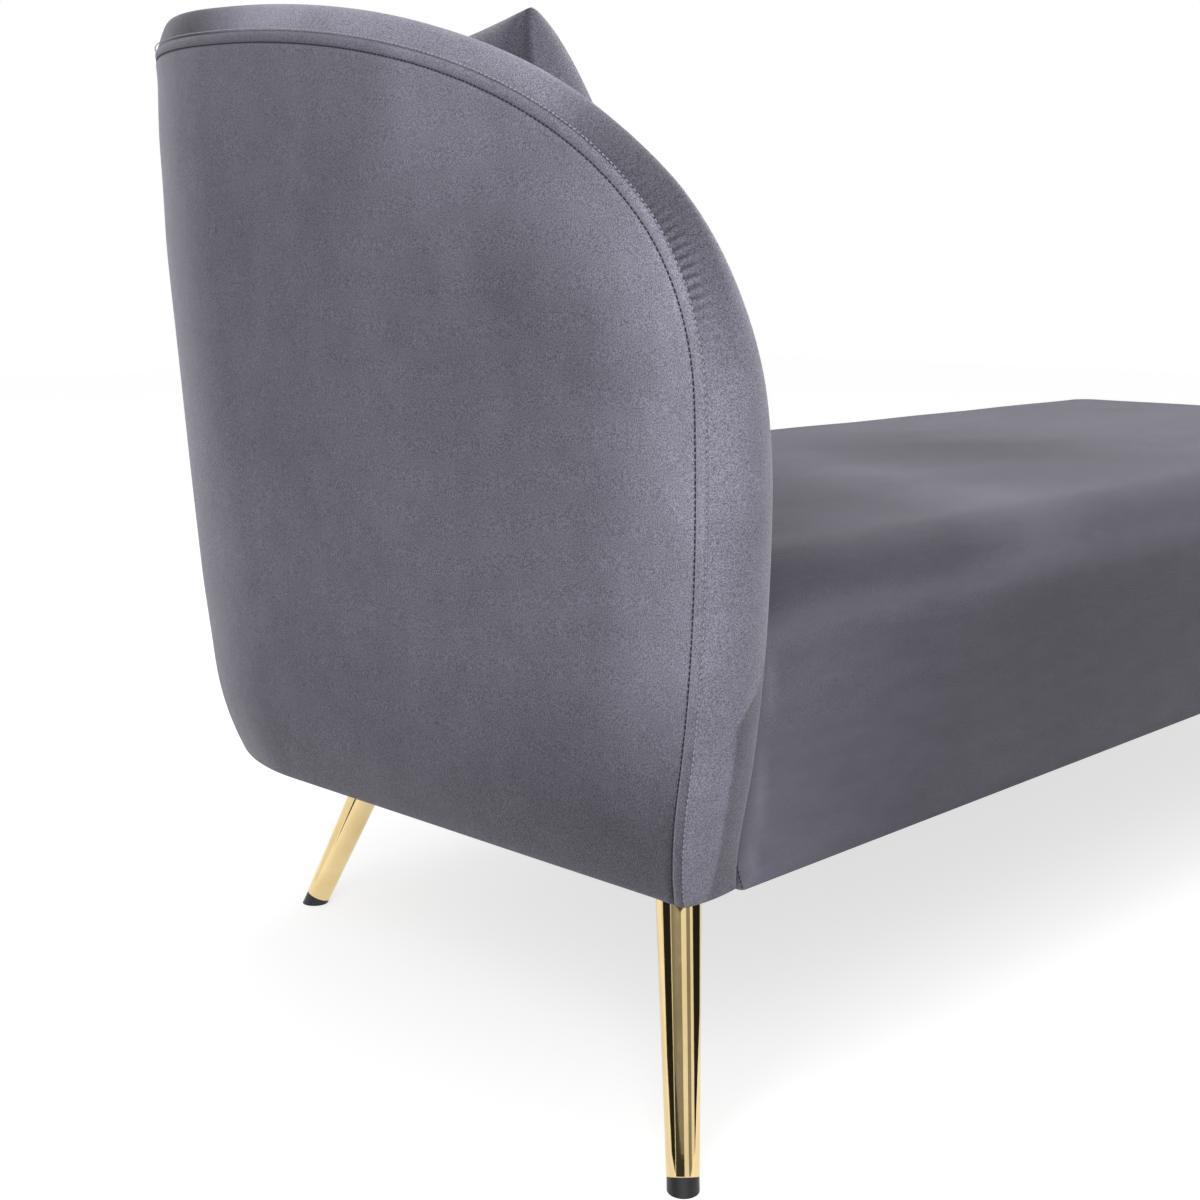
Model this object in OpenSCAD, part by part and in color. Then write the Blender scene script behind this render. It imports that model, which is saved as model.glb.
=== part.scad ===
// Chaise longue with a padded shell back that wraps its rear left corner.
// X runs from the head to the foot end, Y from the right side to the left, Z up.
// The origin is on the floor, under the middle of the whole piece.

/* [Overall] */
// Length of the base, from the rear bottom edge to the foot end
body_l = 1780; // [1500:10:1950]
// Width of the base at its bottom edge
body_w = 710; // [650:10:800]
// Height of the base's underside above the floor
leg_h = 200; // [150:5:240]
// Height of the seat's edge above the floor
seat_h = 445; // [410:1:470]

/* [Shell back] */
// Plan radius of the rear left corner
corner_r = 236; // [210:1:290]
// Height of the top seam above the floor
shell_top_h = 849; // [780:1:900]
// Height at which the arch springs from the two upright ends
spring_h = 557; // [520:1:600]
// Distance along the wall from the right edge to the crown of the arch
crown_s = 550; // [500:5:600]
// Run of the left wing past the crown, along the wall
wing_run = 750; // [700:5:800]
// Thickness of the padded wall at the seat, from seam to seam
wall_t = 72; // [64:1:84]
// Thickness of the padded wall at its top
top_wall_t = 36; // [34:1:60]
// Height at which the wall starts to thin
thin_from_h = 500; // [470:5:540]
// Height at which the wall has thinned
thin_to_h = 760; // [700:5:800]
// How far the right edge leans out past the seat side
edge_flare = 43; // [20:1:60]
// How far the padding swells out above the tucked bottom edge
belly = 19; // [8:1:26]
// Height over which the swelling grows
belly_h = 100; // [70:1:140]
// Rise of the puffed band over the top seam
band_crown = 23; // [14:1:32]
// Rise of the puffed band at the upright ends
end_crown = 13; // [8:1:22]
// Lean of the rear wall
rear_lean = 2; // [0:0.5:4]
// Lean of the left wall
side_lean = 3.9; // [0:0.1:6]
// Thickness of the moulded shell panel
panel_t = 12; // [9:1:14]
// Depth of the panel's outer face behind the bottom edge
panel_in = 10; // [8:1:12]
// Inset of the panel's edge from the seam
panel_edge = 18; // [12:1:24]

/* [Seat] */
// Radius of the seat's waterfall edge
seat_edge_r = 45; // [30:1:60]
// Rise of the seat's middle over its edge
seat_crown = 6; // [0:1:12]
// Plan radius of the foot end corners
foot_r = 70; // [55:1:100]
// Thickness of the velvet with its backing
cover_t = 2.5; // [2:0.1:3.5]
// Thickness of the felt over the webbing
felt_t = 3; // [2:0.5:5]
// Thickness of the webbing
web_t = 1.5; // [1:0.1:2.5]
// Width of a webbing strap
web_w = 60; // [50:5:70]
// Straps across the seat
cross_straps = 10; // [6:1:12]

/* [Frame] */
// Thickness of the rails
rail_t = 25; // [20:1:28]
// Height of the rails
rail_h = 90; // [70:5:100]
// Width of a cross rail
cross_w = 45; // [35:1:60]
// Height of a cross rail
cross_h = 60; // [45:1:65]
// Side of a corner block
block_w = 60; // [56:1:80]
// Thickness of a leg plate
plate_t = 4; // [3:0.5:5]
// Side of a leg plate
plate_w = 80; // [76:1:90]
// Shank diameter of the plate screws
screw_d = 5; // [4:0.5:6]
// Length of the plate screws
screw_l = 35; // [25:1:45]
// Diameter of the shell screws
shell_screw_d = 6; // [5:0.5:8]
// Diameter of the frame dowels
dowel_d = 8; // [6:1:10]
// Length of the frame dowels
dowel_l = 40; // [30:1:45]

/* [Legs] */
// Diameter of a leg at its top
leg_top_d = 35.5; // [30:0.5:38]
// Diameter of a leg at its lower end
leg_end_d = 24.5; // [20:0.5:28]
// Wall of the leg tube
leg_wall = 2; // [1.5:0.1:2.5]
// How far a foot stands out from its leg's top, across the corner
leg_splay = 92; // [60:1:110]
// Length of the black tip below the tube
tip_l = 18; // [12:1:24]
// Place of the rear right leg's top, from both sides of the corner
leg_inset = 40; // [38:1:48]
// Place of the rear left leg's top, from the rear face
curve_leg_x = 207; // [190:1:240]
// Place of the rear left leg's top, from the left face
curve_leg_y = 135; // [115:1:160]
// Place of the foot end legs' tops, from the foot end
foot_leg_x = 66; // [60:1:100]

/* [Pillow] */
// Side of the filled pillow
pillow_w = 440; // [400:5:460]
// Thickness of the pillow's middle
pillow_t = 185; // [130:5:190]
// Lean of the pillow towards the corner
pillow_lean = 19.9; // [14:0.1:24]
// Place of the pillow's near end along the seat, from the rear face
pillow_near_x = 206.5; // [200:0.1:240]
// Place of the pillow's far end across the seat, from the right side
pillow_far_y = 692; // [660:1:694]
// How far the pillow's sides draw in between its corners
pillow_draw = 10; // [4:1:24]

/* [Hidden] */
$fn = 64;

// Clearance between layers and between pieces that only lie together
gap = 0.3;
// Clearance between curved layers
layer_gap = 0.9;
// Clearance round a shank in its hole
hole_gap = 0.2;
// Overrun of every cut
over = 1;
// Shape of the arch: 2 is an ellipse, more is squarer
arch_power = 2.27;
// Shape of the swelling over the bottom edge
belly_power = 2.2;
// Shape of the right edge's outward lean
flare_power = 2.4;
// How fast the band's puff falls off from the crown of the arch
puff_power = 2.5;
// Columns along the wall, and row heights as shares of the swelling and of the thinning
cols = 44;
belly_shares = [0.22, 0.5, 1];
thin_shares = [0, 0.23, 0.46, 0.73, 1];
// Least height of a row over the lowest edge, and under the top
least_row = 6;
least_top_row = 2;
// Steps up an upright end of the band, and across the band
end_steps = 6;
band_steps = 6;

// Levels of the build-up
rail_z = leg_h + plate_t;
rail_top = rail_z + rail_h;
felt_z = rail_top + 2 * web_t + gap;
foam_z = felt_z + felt_t + gap;

// Plan of the frame
rail_in = panel_in + panel_t + layer_gap;
rail_deep = rail_in + rail_t;
rear_run = body_w - corner_r;
arc_run = corner_r * PI / 2;
wing_s = crown_s + wing_run;
wing_x = corner_r + wing_s - rear_run - arc_run;
step_x = wing_x + 2 * gap;
// How far the flats between columns lie inside the round corner
wall_dip = corner_r * (1 - cos(90 * wing_run / (cols * corner_r)));
arch_rise = shell_top_h - spring_h;

function lean_x(z) = -tan(rear_lean) * (z - leg_h);
function lean_y(z) = tan(side_lean) * (z - leg_h);
function swell(z) = belly * (1 - pow(max(0, 1 - (z - leg_h) / belly_h), belly_power));

// A point of the wall: s along its foot from the right edge, z its height and
// n its depth inside the plain outer face
function wall(s, z, n) =
    let (a = (s - rear_run) / corner_r * 180 / PI, r = corner_r - n)
    s <= rear_run ? [lean_x(z) + n, s + lean_y(z) * max(0, s) / rear_run, z] :
    a <= 90 ? [lean_x(z) + corner_r - r * cos(a), rear_run + lean_y(z) + r * sin(a), z] :
    [lean_x(z) + corner_r + s - rear_run - arc_run, body_w + lean_y(z) - n, z];

// The same point measured from the swollen outer face
function padded_wall(s, z, depth) = wall(s, z, depth - swell(z));

// The arch outline at inset e: the run from the crown and the height
function arch_half(t) = t < 0 ? crown_s + edge_flare : wing_run;
function arch_s(t, e) = crown_s + (arch_half(t) - e) * sin(t);
function arch_up(t) = pow(max(0, 1 - pow(abs(sin(t)), arch_power)), 1 / arch_power);
function arch_z(t, e) = spring_h + (arch_rise - e) * arch_up(t);
// How far the wall's inside stands further out at height z, from none at the seat
function thin_z(u) = thin_from_h + (thin_to_h - thin_from_h) * u;
thin_table = [
    for (u = thin_shares) [thin_z(u), (wall_t - top_wall_t) * u * u * (3 - 2 * u)]
];
function thinned(z) = lookup(z, thin_table);
// Share of that move that the shell panel makes, to stay inside its padding
panel_thin_share = 0.55;
// How a face of the wall is shaped: shares of the swelling and of the thinning
panel_face = [0, panel_thin_share];
outer_face = [1, 0];
inner_face = [1, 1];
function follow(face, z) = face[0] * swell(z) + face[1] * thinned(z);
// How far the right edge stands back from its furthest lean at height z
function flare(z) = edge_flare * pow(max(0, 1 - (z - leg_h) / (spring_h - leg_h)), flare_power);
// Place along the wall of column t at height z
function col_s(t, z, e) = arch_s(t, e) + (t < 0 ? flare(z) * pow(-sin(t), 3) : 0);
function col_t(i) = -90 + 180 * i / cols;
// Row heights of a layer from its lowest edge to its top
function row_heights(low, top) =
    let (n = len(thin_shares))
    concat(
        [low],
        [for (b = belly_shares) let (z = leg_h + belly_h * b) if (z > low + least_row) z],
        [for (j = [0:n - 1]) min(thin_z(thin_shares[j]), top - (n - j) * least_top_row)],
        [top]
    );

// Triangles of a grid of m points by k rings, closed round each ring
function ring_faces(k, m) = [
    for (i = [0:k - 2], j = [0:m - 1]) let (a = i * m + j, b = i * m + (j + 1) % m)
        each [[a, a + m, b], [b, a + m, b + m]]
];
// Triangles that close a ring made of two rails of h points each
function rail_cap(base, h, turn) = [
    for (j = [0:h - 2]) let (a = base + j, b = base + j + 1, c = base + 2 * h - 2 - j, d = c + 1)
        each turn ? [[a, c, b], [a, d, c]] : [[a, b, c], [a, c, d]]
];
// A solid through rings, each made of an outer rail out and an inner rail back
module strip_solid(rings) {
    m = len(rings[0]);
    k = len(rings);
    polyhedron(
        points = [for (r = rings) each r],
        faces = concat(
            ring_faces(k, m),
            rail_cap(0, m / 2, false),
            rail_cap((k - 1) * m, m / 2, true)
        ),
        convexity = 10
    );
}
// A solid through closed loops, from its lowest to its highest, with a middle point on each end
module loop_solid(loops, low_mid, high_mid) {
    m = len(loops[0]);
    k = len(loops);
    last = k * m;
    polyhedron(
        points = concat([for (r = loops) each r], [low_mid, high_mid]),
        faces = concat(
            ring_faces(k, m),
            [for (j = [0:m - 1]) [last, j, (j + 1) % m]],
            [for (j = [0:m - 1]) [last + 1, last - m + (j + 1) % m, last - m + j]]
        ),
        convexity = 10
    );
}

// One layer of the wall between two depths, at inset e from the seam, from height low
module wall_layer(low, e, near, far, near_face, far_face) {
    strip_solid([
        for (i = [0:cols]) let (t = col_t(i), rows = row_heights(low, arch_z(t, e)), n = len(rows))
            concat(
                [for (z = rows) wall(col_s(t, z, e), z, near - follow(near_face, z))],
                [for (j = [n - 1:-1:0]) let (z = rows[j])
                    wall(col_s(t, z, e), z, far - follow(far_face, z))]
            )
    ]);
}

// The path of the band: pairs of column angle and height share, up, over and down again
band_path = concat(
    [for (i = [0:end_steps - 1]) [-90, i / end_steps]],
    [for (i = [0:cols]) [col_t(i), 1]],
    [for (i = [end_steps - 1:-1:0]) [90, i / end_steps]]
);
// The least share of the band's puff, kept at its bottom ends
foot_puff_share = 0.25;
function band_puff(t, share) =
    (end_crown + (band_crown - end_crown) * pow(cos(t), puff_power))
    * (t > 0 ? pow(share, 2) : foot_puff_share + (1 - foot_puff_share) * pow(share, 0.5));
// A point of the band at path step p, share v across it between two margins, and inset e
function band_point(p, v, margin, e) =
    let (
        t = p[0],
        low = t < 0 ? leg_h : foam_z + gap,
        z = low + (arch_z(t, e) - low) * p[1],
        across = wall_t - thinned(z) - 2 * margin
    )
    padded_wall(col_s(t, z, e), z, margin + across * v);
// Round section of the puffed band
function puff(q) = pow(sin(180 * q), 0.7);
// A strip of the band between the puffed face less in_face and the inset in_back
module band_solid(margin, in_face, in_back, puffed_back) {
    strip_solid([
        for (p = band_path) let (rise = band_puff(p[0], p[1]))
            concat(
                [for (j = [0:band_steps]) let (v = j / band_steps)
                    band_point(p, v, margin, in_face - rise * puff(v))],
                [for (j = [band_steps:-1:0]) let (v = j / band_steps)
                    band_point(p, v, margin, in_back - (puffed_back ? rise * puff(v) : 0))]
            )
    ]);
}

// Inner face of the padded wall at height z, as a depth in the plain wall
function seat_wall(z) = wall_t - swell(z) + wall_dip + gap;
// Points of a round corner about c, from angle a0, over 90 degrees
function corner(c, r, a0, n) = [for (i = [0:n]) c + r * [cos(a0 + 90 * i / n), sin(a0 + 90 * i / n)]];
// Least plan radius of an inset corner, and steps round a foot end corner
least_r = 4;
foot_steps = 7;
foot_dip = foot_r * (1 - cos(45 / foot_steps));
// How far the skirt of the cover turns in at its two ends
skirt_turn = 10;
// Points shared out along a straight, its end left off
function straight(a, b, n) = [for (i = [0:n - 1]) a + (b - a) * i / n];
// The seat's plan at inset d and height z, anticlockwise from the rear right corner
function seat_loop(d, z) =
    let (
        zw = max(z, foam_z + gap),
        x0 = lean_x(zw) + seat_wall(zw) + d,
        xr = lean_x(z) + seat_wall(z) + d,
        yl = body_w + lean_y(zw) - seat_wall(zw) - d,
        rf = max(foot_r - d, least_r),
        rc = max(corner_r - seat_wall(zw) - d, least_r),
        xf = body_l - d,
        yo = body_w - d,
        low = [for (p = concat(
            [[xr, d + skirt_turn]],
            straight([xr, d], [xf - rf, d], 7),
            corner([xf - rf, d + rf], rf, -90, foot_steps),
            corner([xf - rf, yo - rf], rf, 0, foot_steps),
            straight([xf - rf, yo], [step_x + d, yo], 5),
            [[step_x + d, yo], [step_x + d, yo - skirt_turn]]
        )) [p[0], p[1], z]],
        high = [for (p = concat(
            [[step_x + d, yo - 2 * skirt_turn], [step_x + d, yl]],
            corner([x0 + rc, yl - rc], rc, 90, 9),
            straight([x0, yl - rc], [x0, d + 2 * skirt_turn], 3),
            [[x0, d + 2 * skirt_turn]]
        )) [p[0], p[1], zw]]
    )
    concat(low, high);
// Levels of the seat form at inset d: pairs of inset and height
edge_steps = 5;
crown_shares = [[0.35, 0.7], [0.75, 0.96]];
function seat_levels(d, low) = concat(
    [for (z = low) [d, z]],
    [for (i = [0:edge_steps]) let (a = 90 * i / edge_steps, r = seat_edge_r - d)
        [seat_edge_r - r * cos(a), seat_h - seat_edge_r + r * sin(a)]],
    [for (c = crown_shares)
        [seat_edge_r + (body_w / 2 - seat_edge_r) * c[0], seat_h - d + seat_crown * c[1]]]
);
function seat_loops(d, low) = [for (v = seat_levels(d, low)) seat_loop(v[0], v[1])];
seat_mid = [(step_x + body_l) / 2, body_w / 2];

// The legs lean outwards across their corners
leg_tilt = atan(leg_splay / leg_h);

// Shift that brings the middle of the whole piece over the origin
band_face = [for (p = band_path, j = [0:band_steps]) let (v = j / band_steps)
    band_point(p, v, 0, -band_puff(p[0], p[1]) * puff(v))];
reach_rear = -min([for (b = band_face) b[0]]);
reach_right = -min([for (b = band_face) b[1]]);
reach_left = max([for (b = band_face) b[1]]);
foot_half = (leg_end_d / 2 - gap) * sqrt((1 + pow(1 / cos(leg_tilt), 2)) / 2);
reach_foot = max(body_l, body_l - foot_leg_x + leg_splay * cos(45) + foot_half);
mid = [(reach_foot - reach_rear) / 2, (reach_left - reach_right) / 2];
module placed() {
    translate([-mid[0], -mid[1]]) children();
}

// Plan of the base at an inset: square at the rear right, round at the other corners
module corner_cut(c, r, side) {
    difference() {
        translate([side[0] > 0 ? c[0] : c[0] - r - over, side[1] > 0 ? c[1] : c[1] - r - over])
            square(r + over);
        translate(c) circle(r);
    }
}
module base_plan(inset) {
    difference() {
        translate([inset, inset]) square([body_l - 2 * inset, body_w - 2 * inset]);
        corner_cut([corner_r, rear_run], corner_r - inset, [-1, 1]);
        corner_cut([body_l - foot_r, body_w - foot_r], foot_r - inset, [1, 1]);
        corner_cut([body_l - foot_r, foot_r], foot_r - inset, [1, -1]);
    }
}
// A flat ring sector of a quarter turn about c
module quarter(c, r_in, r_out, from, low, h) {
    translate([c[0], c[1], low])
        rotate([0, 0, from])
            rotate_extrude(angle = 90, $fn = 96)
                translate([r_in, 0]) square([r_out - r_in, h]);
}

// Places of the legs' tops and the way each one splays
leg_rr = [leg_inset, leg_inset];
leg_rl = [curve_leg_x, body_w - curve_leg_y];
leg_fr = [body_l - foot_leg_x, foot_leg_x];
leg_fl = [body_l - foot_leg_x, body_w - foot_leg_x];
legs = [[leg_rr, 225], [leg_rl, 132], [leg_fr, -45], [leg_fl, 45]];
leg_axis_l = leg_h / cos(leg_tilt);
tube_l = leg_axis_l - tip_l;

// Places of a plate's middle, moved back from the leg's top towards the frame's inside
plate_shift = plate_w / 2 - leg_top_d / 2;
function plate_mid(l) = l[0] - plate_shift * [sign(cos(l[1])), sign(sin(l[1]))];
// Screw places on a plate, as shares of its side, clear of the tube
screw_shares = [[-0.32, 0.32], [-0.32, -0.32], [0.32, -0.32], [-0.05, -0.05]];
function screw_at(l, v) =
    plate_mid(l) + plate_w * [v[0] * sign(cos(l[1])), v[1] * sign(sin(l[1]))];
plate_holes = [for (l = legs, v = screw_shares) screw_at(l, v)];
module plate_bores() {
    for (p = plate_holes)
        translate([p[0], p[1], leg_h - over])
            cylinder(d = screw_d + 2 * hole_gap, h = screw_l + 2 * over, $fn = 24);
}

// Screws that hold the shell to the rails: place on the rail's middle line and heading
shell_screw_l = rail_t + panel_t - 3 * gap;
shell_screw_up_share = 0.74;
shell_screw_z = rail_z + rail_h * shell_screw_up_share;
shell_screw_shares = [0.35, 0.75];
bend_screw_turns = [25, 65];
wing_screw_shares = [0.3, 0.8];
shell_screw_places = concat(
    [for (v = shell_screw_shares) [[rail_deep + gap, rear_run * v], 180]],
    [for (a = bend_screw_turns)
        [[corner_r, rear_run] + (corner_r - rail_deep - gap) * [-cos(a), sin(a)], 180 - a]],
    [for (v = wing_screw_shares)
        [[corner_r + (wing_x - corner_r) * v, body_w - rail_deep - gap], 90]]
);
module shell_screw_run(d, back) {
    for (p = shell_screw_places)
        translate([p[0][0], p[0][1], shell_screw_z])
            rotate([0, 90, p[1]])
                translate([0, 0, -back])
                    cylinder(d = d, h = shell_screw_l + back, $fn = 24);
}

// Places of the cross rails along the base
cross_shares = [0.25, 0.5, 0.75];
function cross_x(v) = body_l * v;
dowel_up_shares = [0.3, 0.7];
// Share of a dowel's length that sits in the rail
dowel_in_share = 0.35;
module dowel_run(grow) {
    for (v = cross_shares, u = dowel_up_shares) {
        for (side = [0, 1]) {
            right_y = rail_deep - dowel_l * dowel_in_share;
            left_y = body_w - rail_deep - dowel_l * (1 - dowel_in_share);
            translate([cross_x(v), (side == 0 ? right_y : left_y) - grow, rail_z + cross_h * u])
                rotate([-90, 0, 0])
                    cylinder(d = dowel_d + 2 * grow, h = dowel_l + 2 * grow, $fn = 24);
        }
    }
}

// Long rail on the right side
module rail_right() {
    color("burlywood") placed() difference() {
        translate([rail_deep, rail_in, rail_z])
            cube([body_l - foot_r - rail_deep, rail_t, rail_h]);
        plate_bores();
        dowel_run(hole_gap);
    }
}

// Long rail on the left side
module rail_left() {
    color("burlywood") placed() difference() {
        translate([corner_r, body_w - rail_deep, rail_z])
            cube([body_l - foot_r - corner_r, rail_t, rail_h]);
        plate_bores();
        dowel_run(hole_gap);
        shell_screw_run(shell_screw_d + 2 * hole_gap, over);
    }
}

// Short rail across the head end
module rail_head() {
    color("burlywood") placed() difference() {
        translate([rail_in, rail_in, rail_z]) cube([rail_t, rear_run - rail_in, rail_h]);
        plate_bores();
        shell_screw_run(shell_screw_d + 2 * hole_gap, over);
    }
}

// Short rail across the foot end
module rail_foot() {
    color("burlywood") placed() difference() {
        translate([body_l - rail_deep, foot_r, rail_z])
            cube([rail_t, body_w - 2 * foot_r, rail_h]);
        plate_bores();
    }
}

// Laminated bend at the rear left corner
module head_bend() {
    bend_out = corner_r - rail_in - wall_dip;
    color("tan") placed() difference() {
        quarter([corner_r, rear_run], corner_r - rail_deep, bend_out, 90, rail_z, rail_h);
        plate_bores();
        shell_screw_run(shell_screw_d + 2 * hole_gap, over);
    }
}

// Laminated bends at the two foot end corners
module foot_bends() {
    x = body_l - foot_r;
    bend_in = foot_r - rail_deep;
    bend_out = foot_r - rail_in;
    color("tan") placed() difference() {
        union() {
            quarter([x, foot_r], bend_in, bend_out, -90, rail_z, rail_h);
            quarter([x, body_w - foot_r], bend_in, bend_out, 0, rail_z, rail_h);
        }
        plate_bores();
    }
}

// Cross rails that brace the long rails under the webbing
module cross_rails() {
    color("burlywood") placed() difference() {
        for (v = cross_shares)
            translate([cross_x(v) - cross_w / 2, rail_deep, rail_z])
                cube([cross_w, body_w - 2 * rail_deep, cross_h]);
        dowel_run(hole_gap);
    }
}

// Dowels between the cross rails and the long rails
module frame_dowels() {
    color("wheat") placed() dowel_run(0);
}

// Height of the corner blocks
block_h = rail_h / 2;
// A block in a foot end corner, rounded to lie inside the bend
module foot_block(y_mid, way) {
    c = [body_l - foot_r, y_mid];
    r = foot_r - rail_deep - gap;
    x0 = body_l - rail_deep - gap - block_w;
    translate([0, 0, rail_z]) linear_extrude(block_h) union() {
        translate(c) circle(r);
        translate([x0, way > 0 ? y_mid : y_mid + r - block_w]) square([block_w, block_w - r]);
        translate([x0, way > 0 ? y_mid - r : y_mid]) square([c[0] - x0, r]);
    }
}
// Blocks in the four corners, which carry the legs' plates; the rear left one fills its bend
module corner_blocks() {
    bend_in = corner_r - rail_deep - gap;
    color("peru") placed() difference() {
        union() {
            translate([rail_deep, rail_deep, rail_z]) cube([block_w, block_w, block_h]);
            quarter([corner_r, rear_run], 0, bend_in, 90, rail_z, block_h);
            foot_block(foot_r, 1);
            foot_block(body_w - foot_r, -1);
            translate([corner_r, body_w - rail_deep - bend_in, rail_z])
                cube([block_w, bend_in, block_h]);
        }
        plate_bores();
    }
}

// Steel plates under the frame that the legs are welded to
module leg_plates() {
    color("dimgray") placed() difference() {
        for (l = legs)
            translate([plate_mid(l)[0] - plate_w / 2, plate_mid(l)[1] - plate_w / 2, leg_h])
                cube([plate_w, plate_w, plate_t]);
        plate_bores();
    }
}

// Heads of the screws lie under the plates
head_h_share = 0.5;
module plate_screws() {
    color("silver") placed()
        for (p = plate_holes)
            translate([p[0], p[1], leg_h]) union() {
                cylinder(d = screw_d, h = screw_l, $fn = 24);
                translate([0, 0, -screw_d * head_h_share])
                    cylinder(d = 2 * screw_d, h = screw_d * head_h_share, $fn = 24);
            }
}

// Tilts its children so that Z runs down the leg's axis from the leg's top
module down_leg(l) {
    translate([l[0][0], l[0][1], leg_h])
        rotate([0, 180 - leg_tilt, l[1]]) children();
}
// Radius of the leg at a distance down its axis
function leg_r(d) = (leg_top_d + (leg_end_d - leg_top_d) * d / tube_l) / 2;
// Gold tube: a taper cut level under its plate and square at its lower end
module leg_tube(l) {
    back = leg_top_d + over;
    color("goldenrod") placed() difference() {
        down_leg(l) difference() {
            translate([0, 0, -leg_top_d])
                cylinder(h = tube_l + leg_top_d, r1 = leg_r(-leg_top_d), r2 = leg_r(tube_l));
            translate([0, 0, -back])
                cylinder(
                    h = tube_l + back + over,
                    r1 = leg_r(-back) - leg_wall,
                    r2 = leg_r(tube_l + over) - leg_wall
                );
        }
        translate([l[0][0] - 2 * leg_top_d, l[0][1] - 2 * leg_top_d, leg_h])
            cube([4 * leg_top_d, 4 * leg_top_d, 2 * leg_top_d]);
    }
}
// Share of the tip's length that plugs into the tube
plug_share = 0.9;
// Black plastic tip, cut level on the floor
module leg_tip(l) {
    color("black") placed() difference() {
        down_leg(l) union() {
            translate([0, 0, tube_l]) cylinder(h = tip_l + leg_end_d, r = leg_end_d / 2 - gap);
            translate([0, 0, tube_l - tip_l * plug_share])
                cylinder(h = tip_l * plug_share + over, r = leg_end_d / 2 - leg_wall - gap);
        }
        translate([l[0][0] - 2 * leg_splay, l[0][1] - 2 * leg_splay, -2 * leg_end_d])
            cube([4 * leg_splay, 4 * leg_splay, 2 * leg_end_d]);
    }
}

module leg_rear_right() { leg_tube(legs[0]); }
module leg_rear_left() { leg_tube(legs[1]); }
module leg_foot_right() { leg_tube(legs[2]); }
module leg_foot_left() { leg_tube(legs[3]); }
module tip_rear_right() { leg_tip(legs[0]); }
module tip_rear_left() { leg_tip(legs[1]); }
module tip_foot_right() { leg_tip(legs[2]); }
module tip_foot_left() { leg_tip(legs[3]); }

// Where a strap ends on the bend, for a distance off the bend's middle
bend_mid_r = corner_r - rail_deep + rail_t / 2;
function bend_end(off) = sqrt(pow(bend_mid_r, 2) - pow(off, 2));
// Elastic straps across the seat, stapled on the rails' top edges
module webbing_cross() {
    first = rail_deep + 2 * web_w;
    last = body_l - foot_r - web_w;
    color("gainsboro") placed()
        for (i = [0:cross_straps - 1]) {
            x = first + (last - first) * i / (cross_straps - 1);
            off = max(0, corner_r - x + web_w / 2);
            end = off > 0 ? rear_run + bend_end(off) : body_w - rail_deep + rail_t / 2;
            translate([x - web_w / 2, rail_deep - rail_t / 2, rail_top])
                cube([web_w, end - rail_deep + rail_t / 2, web_t]);
        }
}

// Elastic straps along the seat, laid over the cross straps
long_shares = [0.26, 0.48, 0.7];
module webbing_long() {
    color("gainsboro") placed()
        for (v = long_shares) {
            y = body_w * v;
            off = max(0, y + web_w / 2 - rear_run);
            start = off > 0 ? corner_r - bend_end(off) : rail_deep - rail_t / 2;
            translate([start, y - web_w / 2, rail_top + web_t])
                cube([body_l - rail_deep + rail_t / 2 - start, web_w, web_t]);
        }
}

// Felt between the webbing and the foam
module seat_felt() {
    color("darkgray") placed() translate([0, 0, felt_z])
        linear_extrude(felt_t) base_plan(rail_deep + 2 * gap);
}

// Foam block of the seat, with rounded edges and a slight crown
module seat_foam() {
    d = cover_t + gap;
    loops = seat_loops(d, [foam_z, (foam_z + seat_h - seat_edge_r) / 2]);
    top = seat_h - d + seat_crown;
    color("khaki") placed()
        loop_solid(loops, [seat_mid[0], seat_mid[1], foam_z], [seat_mid[0], seat_mid[1], top]);
}

// Padding on the outside of the rails, under the seat cover
module side_padding() {
    color("khaki") placed() translate([0, 0, rail_z]) difference() {
        linear_extrude(foam_z - gap - rail_z) difference() {
            base_plan(cover_t + gap + foot_dip);
            base_plan(rail_in - gap);
            translate([-over, rail_in]) square([step_x + cover_t + gap + over, body_w]);
            translate([-over, -over]) square([wall_t + wall_dip + cover_t + layer_gap + over, body_w]);
        }
    }
}

// Velvet cover of the seat, one piece over the top and down the sides
module seat_cover() {
    low = [leg_h, foam_z + gap, (foam_z + seat_h - seat_edge_r) / 2];
    outer = seat_loops(0, low);
    inner = seat_loops(cover_t, low);
    m = len(outer[0]);
    k = len(outer);
    n = k * m;
    flip = [for (f = ring_faces(k, m)) [f[0] + n, f[2] + n, f[1] + n]];
    top = seat_h + seat_crown;
    color("slategray") placed() polyhedron(
        points = concat(
            [for (r = outer) each r], [for (r = inner) each r],
            [[seat_mid[0], seat_mid[1], top], [seat_mid[0], seat_mid[1], top - cover_t]]
        ),
        faces = concat(
            ring_faces(k, m), flip,
            [for (j = [0:m - 1]) [2 * n, n - m + (j + 1) % m, n - m + j]],
            [for (j = [0:m - 1]) [2 * n + 1, 2 * n - m + j, 2 * n - m + (j + 1) % m]],
            [for (j = [0:m - 1]) let (a = j, b = (j + 1) % m) each [[a, b, n + b], [a, n + b, n + a]]]
        ),
        convexity = 10
    );
}

// Black cloth stapled under the frame, cut out round the leg plates
dust_t = 0.8;
module dust_cover() {
    color("black") placed() translate([0, 0, rail_z - dust_t - gap / 3])
        linear_extrude(dust_t) difference() {
            base_plan(rail_in + 2 * cover_t);
            for (l = legs)
                translate([plate_mid(l)[0] - plate_w / 2 - over, plate_mid(l)[1] - plate_w / 2 - over])
                    square(plate_w + 2 * over);
        }
}

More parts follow.
